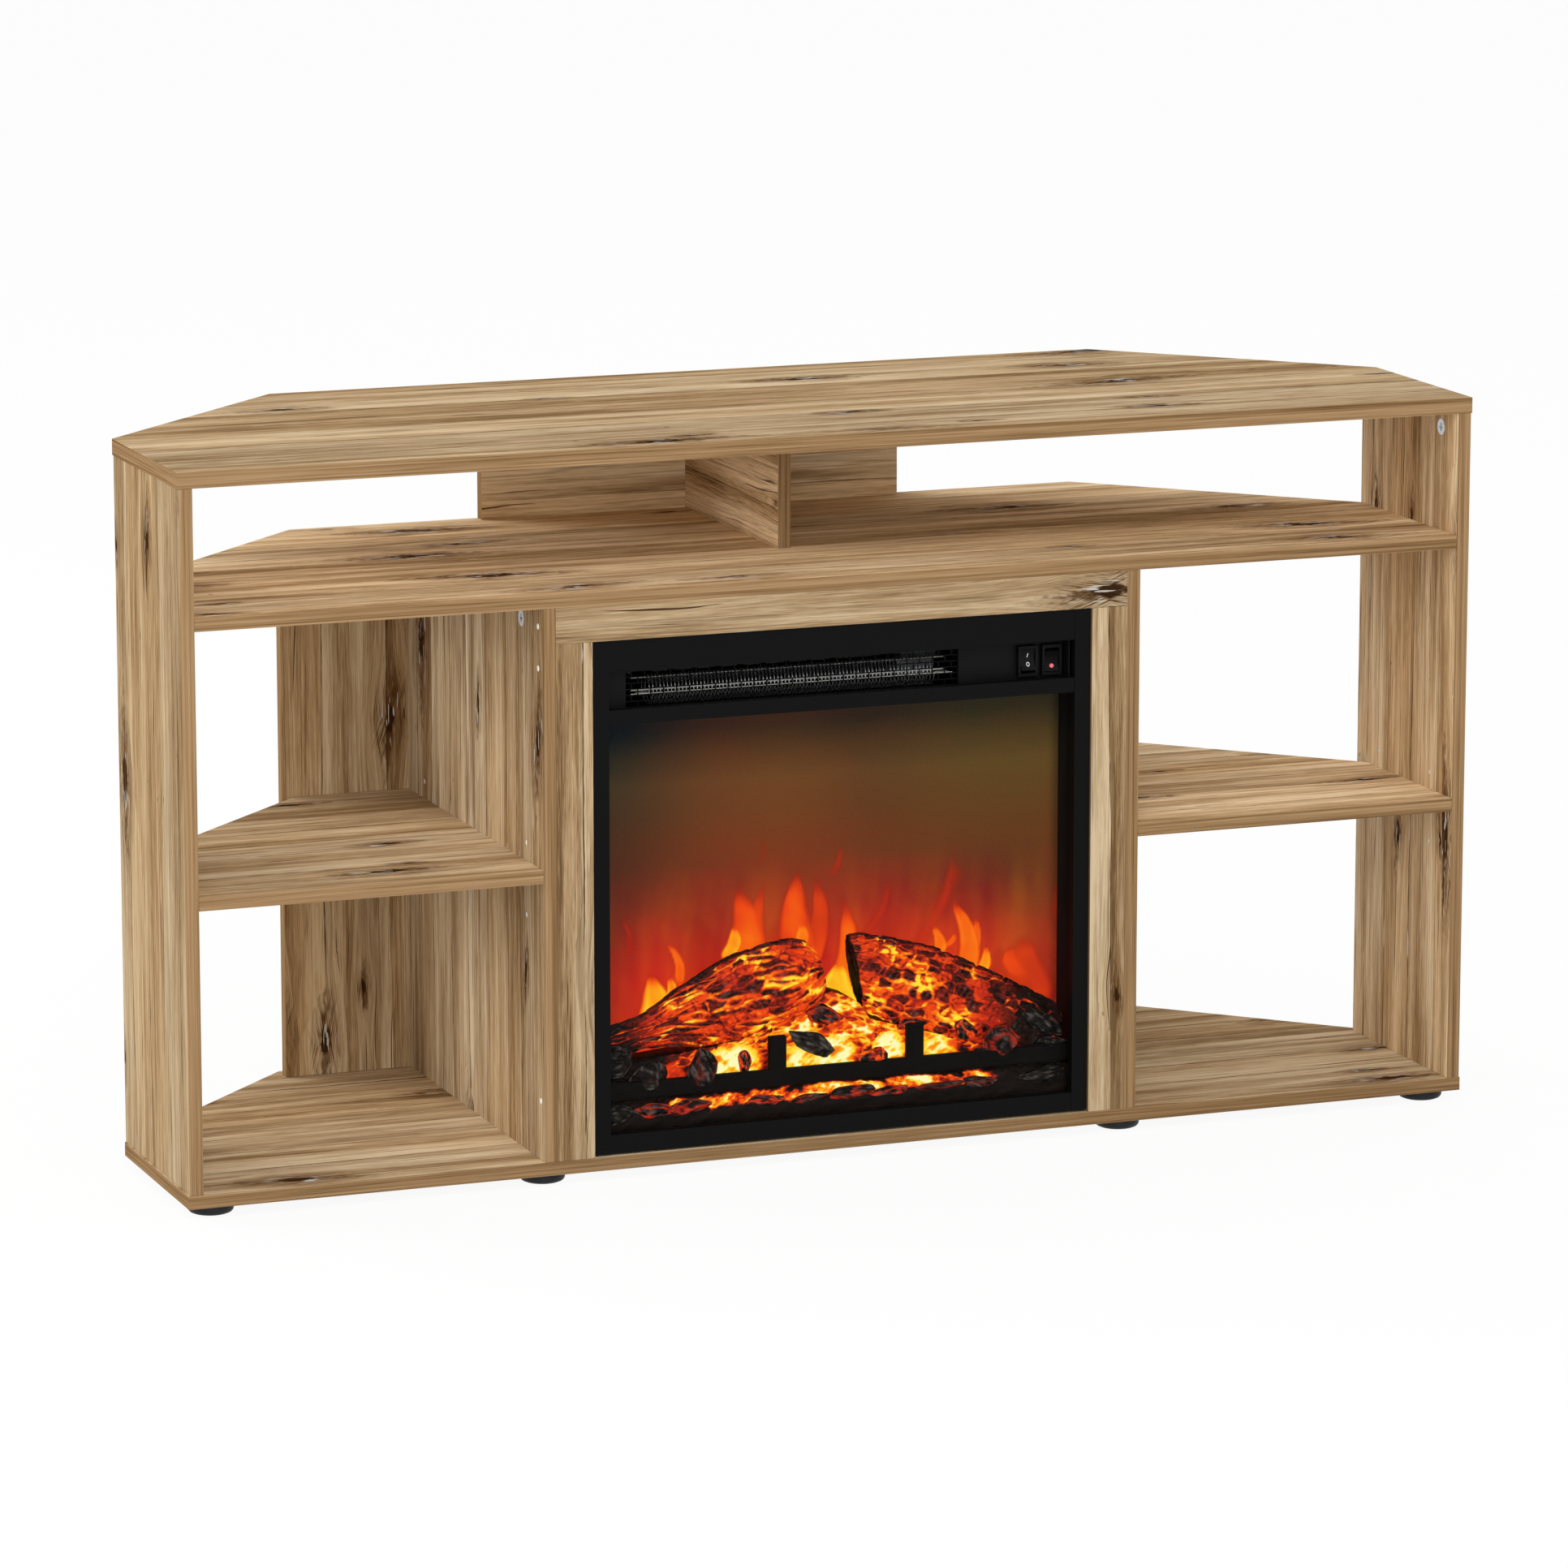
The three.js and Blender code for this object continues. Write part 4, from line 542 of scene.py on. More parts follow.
# ---------------------------------------------------------------- heater behind its grille
def heating_wire():
    """Helix (x, R cos t, R sin t) of 78 turns that eases into a straight lead at each end."""
    low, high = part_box("heater_coil")
    centre = (np.array(low) + np.array(high)) / 2
    radius, turns, half, lead_length, wire = 0.0126, 78, 0.133, 0.0165, 0.00042
    t = np.linspace(0, 1, turns * 14 + 1)
    helix = np.stack([centre[0] + (t * 2 - 1) * half, centre[1] - radius * np.cos(t * turns * 2 * math.pi),
                      centre[2] + radius * np.sin(t * turns * 2 * math.pi)], 1)
    lead = np.linspace(1, 0, 6)[1:-1, None] ** np.array([1.0, 0.0, 0.0])
    start = helix[0] + np.array([-1, 0, 0]) * lead * lead_length
    end = helix[-1] + np.array([1, 0, 0]) * lead[::-1] * lead_length
    return rod(np.concatenate([start, helix, end]), wire, 6)


make("heating_wire", *heating_wire(), bright_wire, slot="bare_steel", replaces=("heater_coil",))

low, high = (np.array(v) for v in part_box("heater_core"))
middle = np.array([0, (low[1] + high[1]) / 2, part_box("heater_coil")[0][2] / 2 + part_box("heater_coil")[1][2] / 2])


def level_rod(inset, dy, dz, radius, sides):
    """A rod across the heater, dy and dz off its middle, with its ends an inset inside the core's box."""
    path = middle + np.array([[0, dy, dz]] * 3)
    path[:, 0] = low[0] + inset, 0, high[0] - inset
    return rod(path, radius, sides)


rods = [level_rod(0.006, 0, 0, 0.0009, 12), level_rod(0.002, -0.0118, -0.0012, 0.0004, 8),
        level_rod(0.002, 0.009, 0.009, 0.0004, 8)]
holders = bars([[x, x + 0.002, low[1], high[1], low[2], high[2]] for x in (low[0], high[0] - 0.002)])
make("heater_rods", *joined(*rods), ceramic, slot="ceramic", replaces=("heater_core",), crease=40)
make("coil_holders", *holders, painted_shade_black, slot="ceramic", crease=0, weld=False)


def grille_wires():
    """Brick-bond mesh: level wires every 5.3 mm and short upright ones every 12 mm, shifted on every other row."""
    low, high = (np.array(v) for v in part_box("heater_grille"))
    rows, columns, wire, rim, tall = 6, 26, 0.00045, 0.004, 0.032
    x0, x1 = low[0] + rim, high[0] - rim
    z0, z1 = high[2] - rim - tall, high[2] - rim
    y0, y1 = low[1], high[1]
    boxes = [[low[0], high[0], y0, y1, z, z] for z in np.linspace(z0, z1, rows + 1)]
    for row in range(rows):
        bottom = z0 + row * (z1 - z0) / rows
        for column in range(columns + 1):
            x = x0 + (column + 0.5 * (row % 2)) * (x1 - x0) / columns
            if x <= high[0] - 0.001:
                boxes.append([x, x, y0, y1, bottom, bottom + (z1 - z0) / rows])
    boxes = np.array(boxes)
    thin = boxes[:, 0] == boxes[:, 1]
    boxes[thin, 0] -= wire
    boxes[thin, 1] += wire
    boxes[~thin, 4] -= wire
    boxes[~thin, 5] += wire
    border = [[low[0], high[0], y0, y1, low[2], z0], [low[0], high[0], y0, y1, z1, high[2]],
              [low[0], x0, y0, y1, z0, z1], [x1, high[0], y0, y1, z0, z1]]
    return bars(np.concatenate([boxes, border]))


mesh_black = satin("mesh_black", tone(16, 16, 16), 0.45, speckle=0.2, sheen=0.05)
make("grille_wires", *grille_wires(), mesh_black, slot="black_paint", replaces=("heater_grille",), crease=0,
     weld=False)


# ---------------------------------------------------------------- switches
def hollow_face(z):
    """Front of a key in millimetres from its pivot: y = -7.5 + 2.4 (1 - (z / 9.2)^2)."""
    return -7.5 + 2.4 * (1 - (z / KEY_HALF) ** 2)


def rocker_key(node, tilt):
    """Key with a hollow front, swept across its width, with rounded long edges, turned by its tilt at rest about
    the pivot."""
    low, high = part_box(node)
    body_low, body_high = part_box(node.replace("rocker", "switch_body"))
    pivot = np.array([(low[0] + high[0]) / 2, FRONT_Y + PIVOT_DEPTH, (body_low[2] + body_high[2]) / 2])
    z = np.linspace(-KEY_HALF, KEY_HALF, 17)
    front = np.stack([hollow_face(z), z], 1)
    ring = np.concatenate([[[-6.6, -9.4]], front, [[-6.6, 9.4], [3.0, 6.0], [3.0, -6.0]]])
    width = np.array([-6.5, -6.35, -6.0, 6.0, 6.35, 6.5])
    shrink = np.array([0.45, 0.12, 0.0, 0.0, 0.12, 0.45])
    middle = ring.mean(0)
    slices = ring[None] + (middle - ring)[None] * (shrink / 9.4)[:, None, None]
    points = np.stack([np.broadcast_to(width[:, None], slices.shape[:2]), slices[..., 0], slices[..., 1]], -1)
    caps = np.stack([points[0].mean(0) + 0 * points[0], points[-1].mean(0) + 0 * points[0]])
    points = np.concatenate([caps[:1], points, caps[1:]])
    faces = sheet_faces(len(points), len(ring), wrap_columns=True)
    return turned(points.reshape(-1, 3), tilt) * MM + pivot, faces, pivot


def turned(points, tilt):
    """Turns points in millimetres about the X axis."""
    c, s = math.cos(tilt), math.sin(tilt)
    x, y, z = np.moveaxis(points, -1, 0)
    return np.stack([x, y * c - z * s, y * s + z * c], -1)


TILT, PIVOT_DEPTH, KEY_HALF = math.radians(9), 0.026, 9.2
for node, tilt, body in (("power_rocker", -TILT, "power_key"), ("heat_rocker", TILT, "heat_key")):
    points, faces, pivot = rocker_key(node, tilt)
    make(f"{node}_key", points, faces, black_plastic, body=body, slot="black_plastic", replaces=(node,), crease=35)


def switch_marks():
    """The bar and ring of a mains switch: both follow the hollow face and stand 0.25 mm proud of it."""
    half, slant = 0.28, 0.55 * 0.55
    corners = np.array([[[side * half + slant * (z - 4.25), hollow_face(z) - d, z] for side in (-1, 1)]
                        for d in (0.25, -0.3) for z in (2.6, 5.9)]).reshape(-1, 3)
    bar = (corners, [[0, 1, 3, 2], [4, 6, 7, 5], [0, 2, 6, 4], [1, 5, 7, 3], [0, 4, 5, 1], [2, 3, 7, 6]])
    around, rings = 28, []
    t = np.arange(around) * 2 * math.pi / around
    for radius, depth in ((1.05, 0.25), (1.55, 0.25), (1.55, -0.3), (1.05, -0.3)):
        z = -3.7 + 1.25 * radius * np.sin(t)
        rings.append(np.stack([radius * np.cos(t), hollow_face(z) - depth, z], 1))
    ring = (np.array(rings).reshape(-1, 3), sheet_faces(4, around, wrap_rows=True, wrap_columns=True))
    return joined(bar, ring)


points, faces = switch_marks()
_, _, pivot = rocker_key("power_rocker", -TILT)
make("switch_bar_and_ring", turned(points, -TILT) * MM + pivot, faces, white_print, body="power_key",
     slot="ceramic", crease=40)


# ---------------------------------------------------------------- fire
def waves(*coordinates, seed, scale, octaves=4):
    """Smooth noise from -1 to 1: sums of sines of the coordinates along random directions, each octave finer."""
    source = np.random.default_rng(seed)
    total, weight = 0.0, 0.0
    points = np.stack(np.broadcast_arrays(*coordinates), -1)
    for octave in range(octaves):
        for _ in range(4):
            direction = source.normal(size=points.shape[-1])
            direction *= scale * 2 ** octave / np.linalg.norm(direction)
            total = total + 0.62 ** octave * np.sin(points @ direction + source.uniform(0, 6.3))
        weight += 0.62 ** octave * 2.2
    return total / weight


def smoothstep(low, high, value):
    """0 below low, 1 above high, 3t^2 - 2t^3 between."""
    t = np.clip((value - low) / (high - low), 0, 1)
    return t * t * (3 - 2 * t)


def fire_colour(heat):
    """Colour of a glow: black, deep red, orange, yellow and near white as heat goes from 0 to 1."""
    stops = [0, 0.14, 0.30, 0.46, 0.62, 0.78, 0.90, 1.0]
    table = np.array([tone(12, 4, 3), tone(96, 18, 8), tone(188, 38, 14), tone(238, 72, 12), tone(253, 122, 16),
                      tone(255, 184, 26), tone(255, 226, 56), tone(255, 253, 186)])
    return np.stack([np.interp(heat, stops, table[:, c]) for c in range(3)], -1)


def plates(u, v, seeds_u, seeds_v, long_u, long_v, around=1e9):
    """Bricks round seeds, with distance measured as u / long_u and v / long_v: how far each point is, in
    millimetres, from the seam between its two nearest seeds, and the nearest one's number. v comes round
    again after `around`."""
    best, second = np.full(u.shape, 9e9), np.full(u.shape, 9e9)
    near, next_near = np.zeros(u.shape, int), np.zeros(u.shape, int)
    for number, (su, sv) in enumerate(zip(seeds_u, seeds_v)):
        dv = (v - sv + around / 2) % around - around / 2
        d = ((u - su) / long_u) ** 2 + (dv / long_v) ** 2
        nearer, close = d < best, d < second
        next_near = np.where(nearer, near, np.where(close, number, next_near))
        second = np.where(nearer, best, np.where(close, d, second))
        near = np.where(nearer, number, near)
        best = np.where(nearer, d, best)
    du = (seeds_u[next_near] - seeds_u[near]) / long_u
    dv = ((seeds_v[next_near] - seeds_v[near] + around / 2) % around - around / 2) / long_v
    return (second - best) / (2 * np.hypot(du / long_u, dv / long_v) + 1e-9), near


def hot_spots(x, z, spots):
    """Soft spots added up: heat exp(-((x - sx)^2 + 1.5 (z - sz)^2) / radius^2)."""
    return sum(heat * np.exp(-((x - sx) ** 2 + 1.5 * (z - sz) ** 2) / radius ** 2) for sx, sz, radius, heat in spots)


def glowing(level):
    """Light given off at a level of heat: its colour, dimmed where it is only warm."""
    level = np.clip(level, 0, 1)
    return fire_colour(level) * smoothstep(0.0, 0.10, level)[..., None]


def between(first, second, share):
    """Blend of two linear colours by an array of shares."""
    share = np.clip(share, 0, 1)[..., None]
    return np.array(first) * (1 - share) + np.array(second) * share


LOGS = {
    # shares: how full the log is along its length; spots: x, z, radius and heat
    "left_log": dict(
        start=(-225, 41, 85), tilt=math.radians(14.6), length=227, radius=40, seed=11, brick=(27, 6.6), swirl=0.10,
        base=0.34, fade=(-206, -150), sawn=None,
        shares=[(0, 0), (0.012, 0.2), (0.03, 0.30), (0.112, 0.385), (0.219, 0.365), (0.291, 0.47), (0.365, 0.605),
                (0.446, 0.745), (0.521, 0.853), (0.596, 0.936), (0.672, 1.0), (0.745, 1.0), (0.813, 0.99),
                (0.867, 0.943), (0.913, 0.868), (0.958, 0.72), (0.992, 0.45), (1, 0)],
        spots=[(-145, 109, 15, 0.5), (-122, 121, 15, 0.5), (-71, 136, 17, 0.4), (-55, 162, 12, 0.4),
               (-43, 139, 16, 0.4), (-26, 165, 10, 0.5), (-14, 156, 10, 0.4), (-32, 127, 16, 0.7),
               (-96, 121, 14, 0.4), (-81, 93, 15, 0.5), (-58, 99, 19, 0.7), (-102, 86, 14, 0.5),
               (-160, 129, 11, 0.5), (-116, 153, 10, 0.4), (-78, 169, 10, 0.4), (-174, 103, 13, 0.4),
               (-131, 89, 10, 0.3), (-188, 118, 9, 0.3), (-12, 130, 12, 0.4)]),
    "right_log": dict(
        start=(5, 41, 150), tilt=math.radians(-22), length=235, radius=38, seed=23, brick=(15, 8.8), swirl=-0.06,
        base=0.30, fade=(196, 122), sawn=(22.8, 143.5, math.radians(-10.4)),
        shares=[(0, 0), (0.004, 0.4), (0.01, 0.60), (0.057, 0.74), (0.18, 0.895), (0.32, 1.0), (0.47, 0.974),
                (0.623, 0.92), (0.779, 0.83), (0.92, 0.71), (0.97, 0.53), (0.99, 0.3), (1, 0)],
        spots=[(70, 149, 13, 0.4), (77, 137, 12, 0.5), (101, 138, 13, 0.3), (63, 113, 18, 0.8), (92, 111, 14, 0.6),
               (74, 124, 14, 0.5), (38, 121, 12, 0.6), (110, 85, 16, 0.5), (92, 89, 16, 0.7), (134, 96, 12, 0.2),
               (36, 94, 16, 0.8), (51, 128, 12, 0.3), (119, 145, 8, 0.2)]),
}


def fire_log(start, tilt, length, radius, shares, seed, brick, swirl, base, fade, sawn, spots):
    """Log about a slanting axis: centre + R(t) (sin p up + 0.45 cos p forward), with R from the table of shares,
    pushed out by its bark bricks; what lies beyond the sawn end is moved back onto its plane. Each point also gets
    its paint and its glow: seams widen and brighten with the heat of their place, the bricks between are char,
    and a faint grey glow on the raised char is a painted highlight."""
    rows, columns, around = 330, 230, 190.0
    shares = np.array(shares)
    t = np.unique(np.concatenate([np.linspace(0, 1, rows), np.linspace(0, 0.03, 12), np.linspace(0.97, 1, 12)]))
    p = np.arange(columns) * 2 * math.pi / columns
    t, p = np.meshgrid(t, p, indexing="ij")
    size = radius * np.interp(t, shares[:, 0], shares[:, 1])
    u, v = t * length, p / (2 * math.pi) * around
    round_x, round_y = np.sin(p) * 30, np.cos(p) * 30
    warp_u = 8.0 * waves(u, round_x, round_y, seed=seed, scale=0.07)
    warp_v = 4.4 * waves(u, round_x, round_y, seed=seed + 1, scale=0.06) + swirl * (u - length / 2)
    source = np.random.default_rng(seed)
    count_u, count_v = int(length / brick[0]), int(around / brick[1])
    grid_u, grid_v = np.meshgrid(np.arange(-1, count_u + 2), np.arange(count_v), indexing="ij")
    seeds_u = ((grid_u + 0.5 * (grid_v % 2) + source.uniform(-0.45, 0.45, grid_u.shape)) * brick[0]).ravel()
    seeds_v = ((grid_v + source.uniform(-0.34, 0.34, grid_u.shape)) * around / count_v).ravel()
    seam, which = plates(u + warp_u, (v + warp_v) % around, seeds_u, seeds_v, brick[0], around / count_v, around)
    fine = waves(u, round_x, round_y, seed=seed + 2, scale=0.40)
    grit = waves(u * 1.3, v * 1.6, seed=seed + 6, scale=0.9, octaves=3)
    fibre = waves(u * 0.20, v + warp_v, seed=seed + 3, scale=1.1, octaves=3)
    streak = waves(u * 0.28, v + 1.6 * warp_v, seed=seed + 4, scale=0.26, octaves=4)
    cloud = waves(u * 0.6, round_x, round_y, seed=seed + 5, scale=0.10, octaves=3)
    lot, tall = source.uniform(0, 1, len(seeds_u))[which], source.uniform(0.3, 1.2, len(seeds_u))[which]
    top = smoothstep(0.1, 2.0, seam + 0.7 * fine)
    push = top * tall * 2.2 + 0.45 * fine + 0.45 * fibre * top + 0.9 * streak + 0.16 * grit - 1.8
    ends = smoothstep(0, 0.03, t) * smoothstep(1, 0.97, t)
    c, s = math.cos(tilt), math.sin(tilt)
    axis = np.array(start) + (t * length)[..., None] * np.array([c, 0, s])
    out = np.sin(p)[..., None] * np.array([-s, 0, c]) + 0.45 * np.cos(p)[..., None] * np.array([0, -1, 0])
    points = axis + np.maximum(size + push * ends * smoothstep(0, 10, size), 0.0)[..., None] * out
    x, z = points[..., 0], points[..., 2]
    end = np.zeros_like(x)
    if sawn:
        plane = sawn[0] + (z - sawn[1]) * math.tan(sawn[2]) + 0.5 * fine
        end = smoothstep(1.6, -0.2, x - plane)
        x[:] = np.maximum(x, plane)

    warmth = smoothstep(0, 1, (x - fade[0]) / (fade[1] - fade[0]))
    heat = np.clip((base + hot_spots(x, z, spots) + 0.20 * cloud) * (0.04 + 0.96 * warmth), 0, 1.1)
    wide = 0.5 + 4.2 * np.clip(0.80 * heat + 0.55 * streak + 0.20 * fibre, 0, 1) ** 1.6
    open_seam = smoothstep(1.0, 0.15, (np.maximum(seam, 0) + 0.5 * fine + 0.35 * grit) / wide)
    core = open_seam * (0.26 * warmth + 0.36 * heat + 0.46 * streak + 0.24 * fibre + 0.08 * grit)
    charred = smoothstep(0.56, 0.38, lot + 0.25 * fine - 0.10 * heat)
    skin = warmth * (0.35 - 0.27 * charred + 0.16 * heat * lot + 0.10 * fibre + 0.06 * grit)
    skin = np.maximum(skin, 0.26 * np.exp(-np.maximum(seam, 0) / 1.2) * warmth)
    level = np.maximum(core, skin) + 0.46 * smoothstep(0.40, 0.95, streak * 0.8 + fibre * 0.6) * heat
    soot = smoothstep(0.16, 0.03, abs(waves(u * 0.5, v + 2 * warp_v, seed=seed + 8, scale=0.33, octaves=3)))
    level = level * (1 - 0.60 * soot * smoothstep(0.9, 0.3, open_seam * heat))
    brow = smoothstep(0.93, 0.995, np.sin(p) + 0.05 * fine)
    level = np.clip(level * (1 - 0.85 * brow) * (1 - end), 0, 0.90)
    # Painted highlight: a faint grey glow on the raised tops of the charred bricks.
    grey_highlight = smoothstep(0.25, 0.95, fine + 0.5 * grit) * charred * top
    glow = glowing(level) + 0.035 * (grey_highlight * (1 - 0.5 * end))[..., None] * np.array([1.0, 0.95, 0.90])
    paint = between(tone(9, 6, 5), tone(46, 30, 24), 0.40 + 0.55 * fibre + 0.2 * fine + 0.3 * grit)
    paint = paint * (1 - 0.7 * end)[..., None]
    paint = paint * (1 - 0.9 * np.clip(level * 2.0, 0, 1))[..., None]
    return points, sheet_faces(*points.shape[:2], wrap_columns=True), paint, glow


for node, log in LOGS.items():
    points, faces, paint, glow = fire_log(**log)
    make(f"{node}_bark", bay_frame(points), faces, bark, slot="charred_log", replaces=(node,),
         colours={"paint": paint, "glow": glow})


def slab(front, depth_y, fields):
    """Closes a sheet of points into a slab: each column gets a top and a bottom point on the plane at depth_y, and
    the first and last columns shrink to a point. The fields, such as colours, follow and fade out behind."""
    back = front[:, [-1, 0]].copy()
    back[..., 1] = depth_y
    points = np.concatenate([front, back], 1)
    points = np.concatenate([np.broadcast_to(points[:1].mean(1, keepdims=True), points[:1].shape), points,
                             np.broadcast_to(points[-1:].mean(1, keepdims=True), points[-1:].shape)])
    grown = [np.concatenate([f[:, :-1], 0.05 * f[:, -1:], 0.02 * f[:, [-1, 0]]], 1) for f in fields]
    grown = [np.concatenate([f[:1], f, f[-1:]]) for f in grown]
    return points, sheet_faces(*points.shape[:2], wrap_columns=True), grown


MOUTHS = [
    # middle x, foot z, half width, height, heat
    (-92, 58, 27, 29, 1.0), (-28, 58, 22, 23, 0.95), (4, 58, 22, 31, 1.0), (54, 58, 17, 30, 1.0),
    (101, 58, 22, 34, 0.9), (-153, 57, 17, 15, 0.55),
]
BED_X = np.array([-1, -0.88, -0.66, -0.4, -0.18, -0.05, 0.01, 0.07, 0.12, 0.16, 0.3, 0.44, 0.66, 0.8, 1])
BED_Z = np.array([0.5, 0.6, 0.64, 0.7, 0.83, 0.97, 1, 0.96, 0.9, 0.78, 0.7, 0.62, 0.5, 0.42, 0.36])


def ember_face():
    """Face of the bed seen from the front: y = front(z) - lumps, z from the floor up to the mound's outline. Smooth
    bright mouths open behind the grate, broken coals glow between them, and a hot line runs below the bar."""
    low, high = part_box("ember_bed")
    half = high[0] / MM - 1.0
    columns, rows = 460, 150
    x = np.linspace(-half, half, columns)
    crest = np.interp(x, BED_X * half, 1.6 + BED_Z * 119.8)
    z = 1.8 + np.linspace(0, 1, rows)[None, :] ** 0.9 * (crest - 1.8)[:, None]
    x = np.broadcast_to(x[:, None], z.shape)
    front = np.interp(z, [0, 27, 40, 47, 60, 95, 125], [17.6, 18.6, 26.0, 30.8, 32.5, 34.0, 40.0])
    source = np.random.default_rng(5)
    grid_x, grid_z = np.meshgrid(np.arange(-half, half + 9, 11.0), np.arange(0, 128, 5.6), indexing="ij")
    seeds_x = (grid_x + source.uniform(-5, 5, grid_x.shape)).ravel()
    seeds_z = (grid_z + source.uniform(-2.5, 2.5, grid_x.shape)).ravel()
    warp = 5.0 * waves(x, z, seed=31, scale=0.08)
    lean = 0.35 * np.clip(x + 4, -60, 60) / 60
    fine = waves(x, z, seed=33, scale=0.45)
    grit = waves(x, z, seed=37, scale=1.1, octaves=3)
    cloud = waves(x, z, seed=34, scale=0.13)
    flow = waves(x * 0.35, z + lean * x * 0.5 + warp * 0.5, seed=35, scale=0.34, octaves=4)
    seam, which = plates(x + warp, z + 0.8 * warp + lean * x * 0.4, seeds_x, seeds_z, 11.0, 5.6)
    tall, lot = source.uniform(0.1, 1.0, len(seeds_x))[which], source.uniform(0, 1, len(seeds_x))[which]
    gape, ring, core = 0.0 * x, 0.0 * x, 9.0 + 0.0 * x
    for mouth_x, mouth_z, wide, tall_z, heat in MOUTHS:
        d = (abs((x - mouth_x) / wide) ** 2.6 + abs((z - mouth_z) / tall_z) ** 2.6) ** (1 / 2.6)
        d = d + 0.16 * cloud + 0.10 * fine + 0.05 * grit
        gape = np.maximum(gape, smoothstep(1.05, 0.80, d) * heat)
        ring = np.maximum(ring, np.exp(-((d - 1.08) / 0.09) ** 2))
        core = np.minimum(core, 0.2 + 0.42 * d ** 2 + 0.55 * (1 - heat))
    gape = gape * smoothstep(46, 54, z)
    lump = smoothstep(0.1, 1.8, seam + 0.4 * fine)
    rough = (lump * tall * 2.8 + 0.6 * fine + 0.3 * grit + 0.8) * smoothstep(28, 36, z)
    rough = rough * (1 - 0.85 * smoothstep(0.2, 0.7, gape))
    y = front - rough + 1.5 * smoothstep(0.2, 0.8, gape)
    middle = smoothstep(152, 84, abs(x + 4)) * smoothstep(58, 74, z)
    line = smoothstep(182, 120, abs(x + 14)) * np.exp(-((z - 36.0 - 2.6 * cloud) / 3.8) ** 2)
    line = line * smoothstep(-0.55, 0.25, flow + 0.5 * smoothstep(-130, -90, x))
    heat = np.clip(middle * (0.66 + 0.35 * cloud) + 0.22 * smoothstep(190, 130, abs(x)) * smoothstep(45, 60, z), 0, 1)
    wide = 0.4 + 4.5 * np.clip(heat * 0.9 + 0.6 * flow, 0, 1) ** 1.4
    open_seam = smoothstep(1.0, 0.1, (np.maximum(seam, 0) + 0.5 * fine + 0.3 * grit) / wide)
    level = open_seam * (0.22 + 0.62 * heat + 0.42 * flow + 0.10 * grit) * smoothstep(0.03, 0.25, heat)
    level = np.maximum(level, heat * (0.24 + 0.34 * lot + 0.46 * flow))
    level = level * (1 - 0.4 * np.clip(ring, 0, 1))
    level = np.maximum(level, smoothstep(0.11, 0.38, line + 0.1 * fine) * (0.68 + 0.66 * flow + 0.22 * grit))
    depth = np.clip(1.25 - core, 0, 1) * gape
    swirl = smoothstep(0.10, 0.75, abs(waves(x * 0.8, z, seed=38, scale=0.20)) + 0.35 * fine + 0.15 * grit)
    level = np.maximum(level, depth * (1.14 - 0.46 * swirl + 0.12 * cloud + 0.10 * fine + 0.08 * grit))
    level = np.clip(level, 0, 1)
    glow = glowing(level)
    paint = between(tone(8, 7, 6), tone(40, 30, 25), 0.42 + 0.5 * fine + 0.3 * grit)
    paint = paint * (1 - 0.8 * np.clip(level * 1.5, 0, 1))[..., None]
    paint = paint * (0.75 + 0.25 * smoothstep(26, 36, z))[..., None]
    return slab(np.stack([x, y, z], -1), 59.5, (paint, glow))


points, faces, (paint, glow) = ember_face()
make("ember_mound", bay_frame(points), faces, ember_mould, slot="embers", replaces=("ember_bed",),
     colours={"paint": paint, "glow": glow})


def coal(centre, size, turn, seed, heat):
    """Broken coal: a ball (cos a cos b, cos a sin b, sin a) whose radius is cut down to flat facets and roughened,
    times its size, then leant over. Cracks glow by its heat, and a faint grey glow on the cool rough parts is a
    painted highlight."""
    rows, columns = 26, 40
    lat, lon = np.meshgrid(np.linspace(-math.pi / 2, math.pi / 2, rows), np.arange(columns) * 2 * math.pi / columns,
                           indexing="ij")
    ball = np.stack([np.cos(lat) * np.cos(lon), np.cos(lat) * np.sin(lon), np.sin(lat)], -1)
    source = np.random.default_rng(seed)
    cuts = source.normal(size=(14, 3))
    cuts /= np.linalg.norm(cuts, axis=1, keepdims=True)
    facets = np.max(ball @ cuts.T, -1)
    rough = waves(ball[..., 0], ball[..., 1], ball[..., 2], seed=seed, scale=4.0)
    local = ball * ((0.84 / np.maximum(facets, 0.7) + 0.07 * rough)[..., None]) * np.array(size)
    c, s = math.cos(turn), math.sin(turn)
    spun = np.stack([local[..., 0] * c - local[..., 2] * s, local[..., 1], local[..., 0] * s + local[..., 2] * c], -1)
    crack = smoothstep(0.30, 0.02, abs(waves(ball[..., 0], ball[..., 1] * 2, ball[..., 2], seed=seed + 50, scale=2.6)))
    level = crack * heat + 0.4 * heat * smoothstep(0.2, 0.8, rough)
    grit = waves(ball[..., 0], ball[..., 1], ball[..., 2], seed=seed + 70, scale=14.0)
    # Painted highlight: a faint grey glow on the rough parts that stay cool.
    grey_highlight = smoothstep(0.2, 0.9, grit + 0.5 * rough) * smoothstep(0.2, 0.0, level)
    glow = glowing(level) + 0.055 * grey_highlight[..., None] * np.array([1.0, 0.96, 0.90])
    paint = between(tone(9, 8, 8), tone(58, 52, 47), 0.18 + 0.5 * rough + 0.8 * grit)
    return spun + np.array(centre), sheet_faces(rows, columns, wrap_columns=True)[:, ::-1], paint, glow


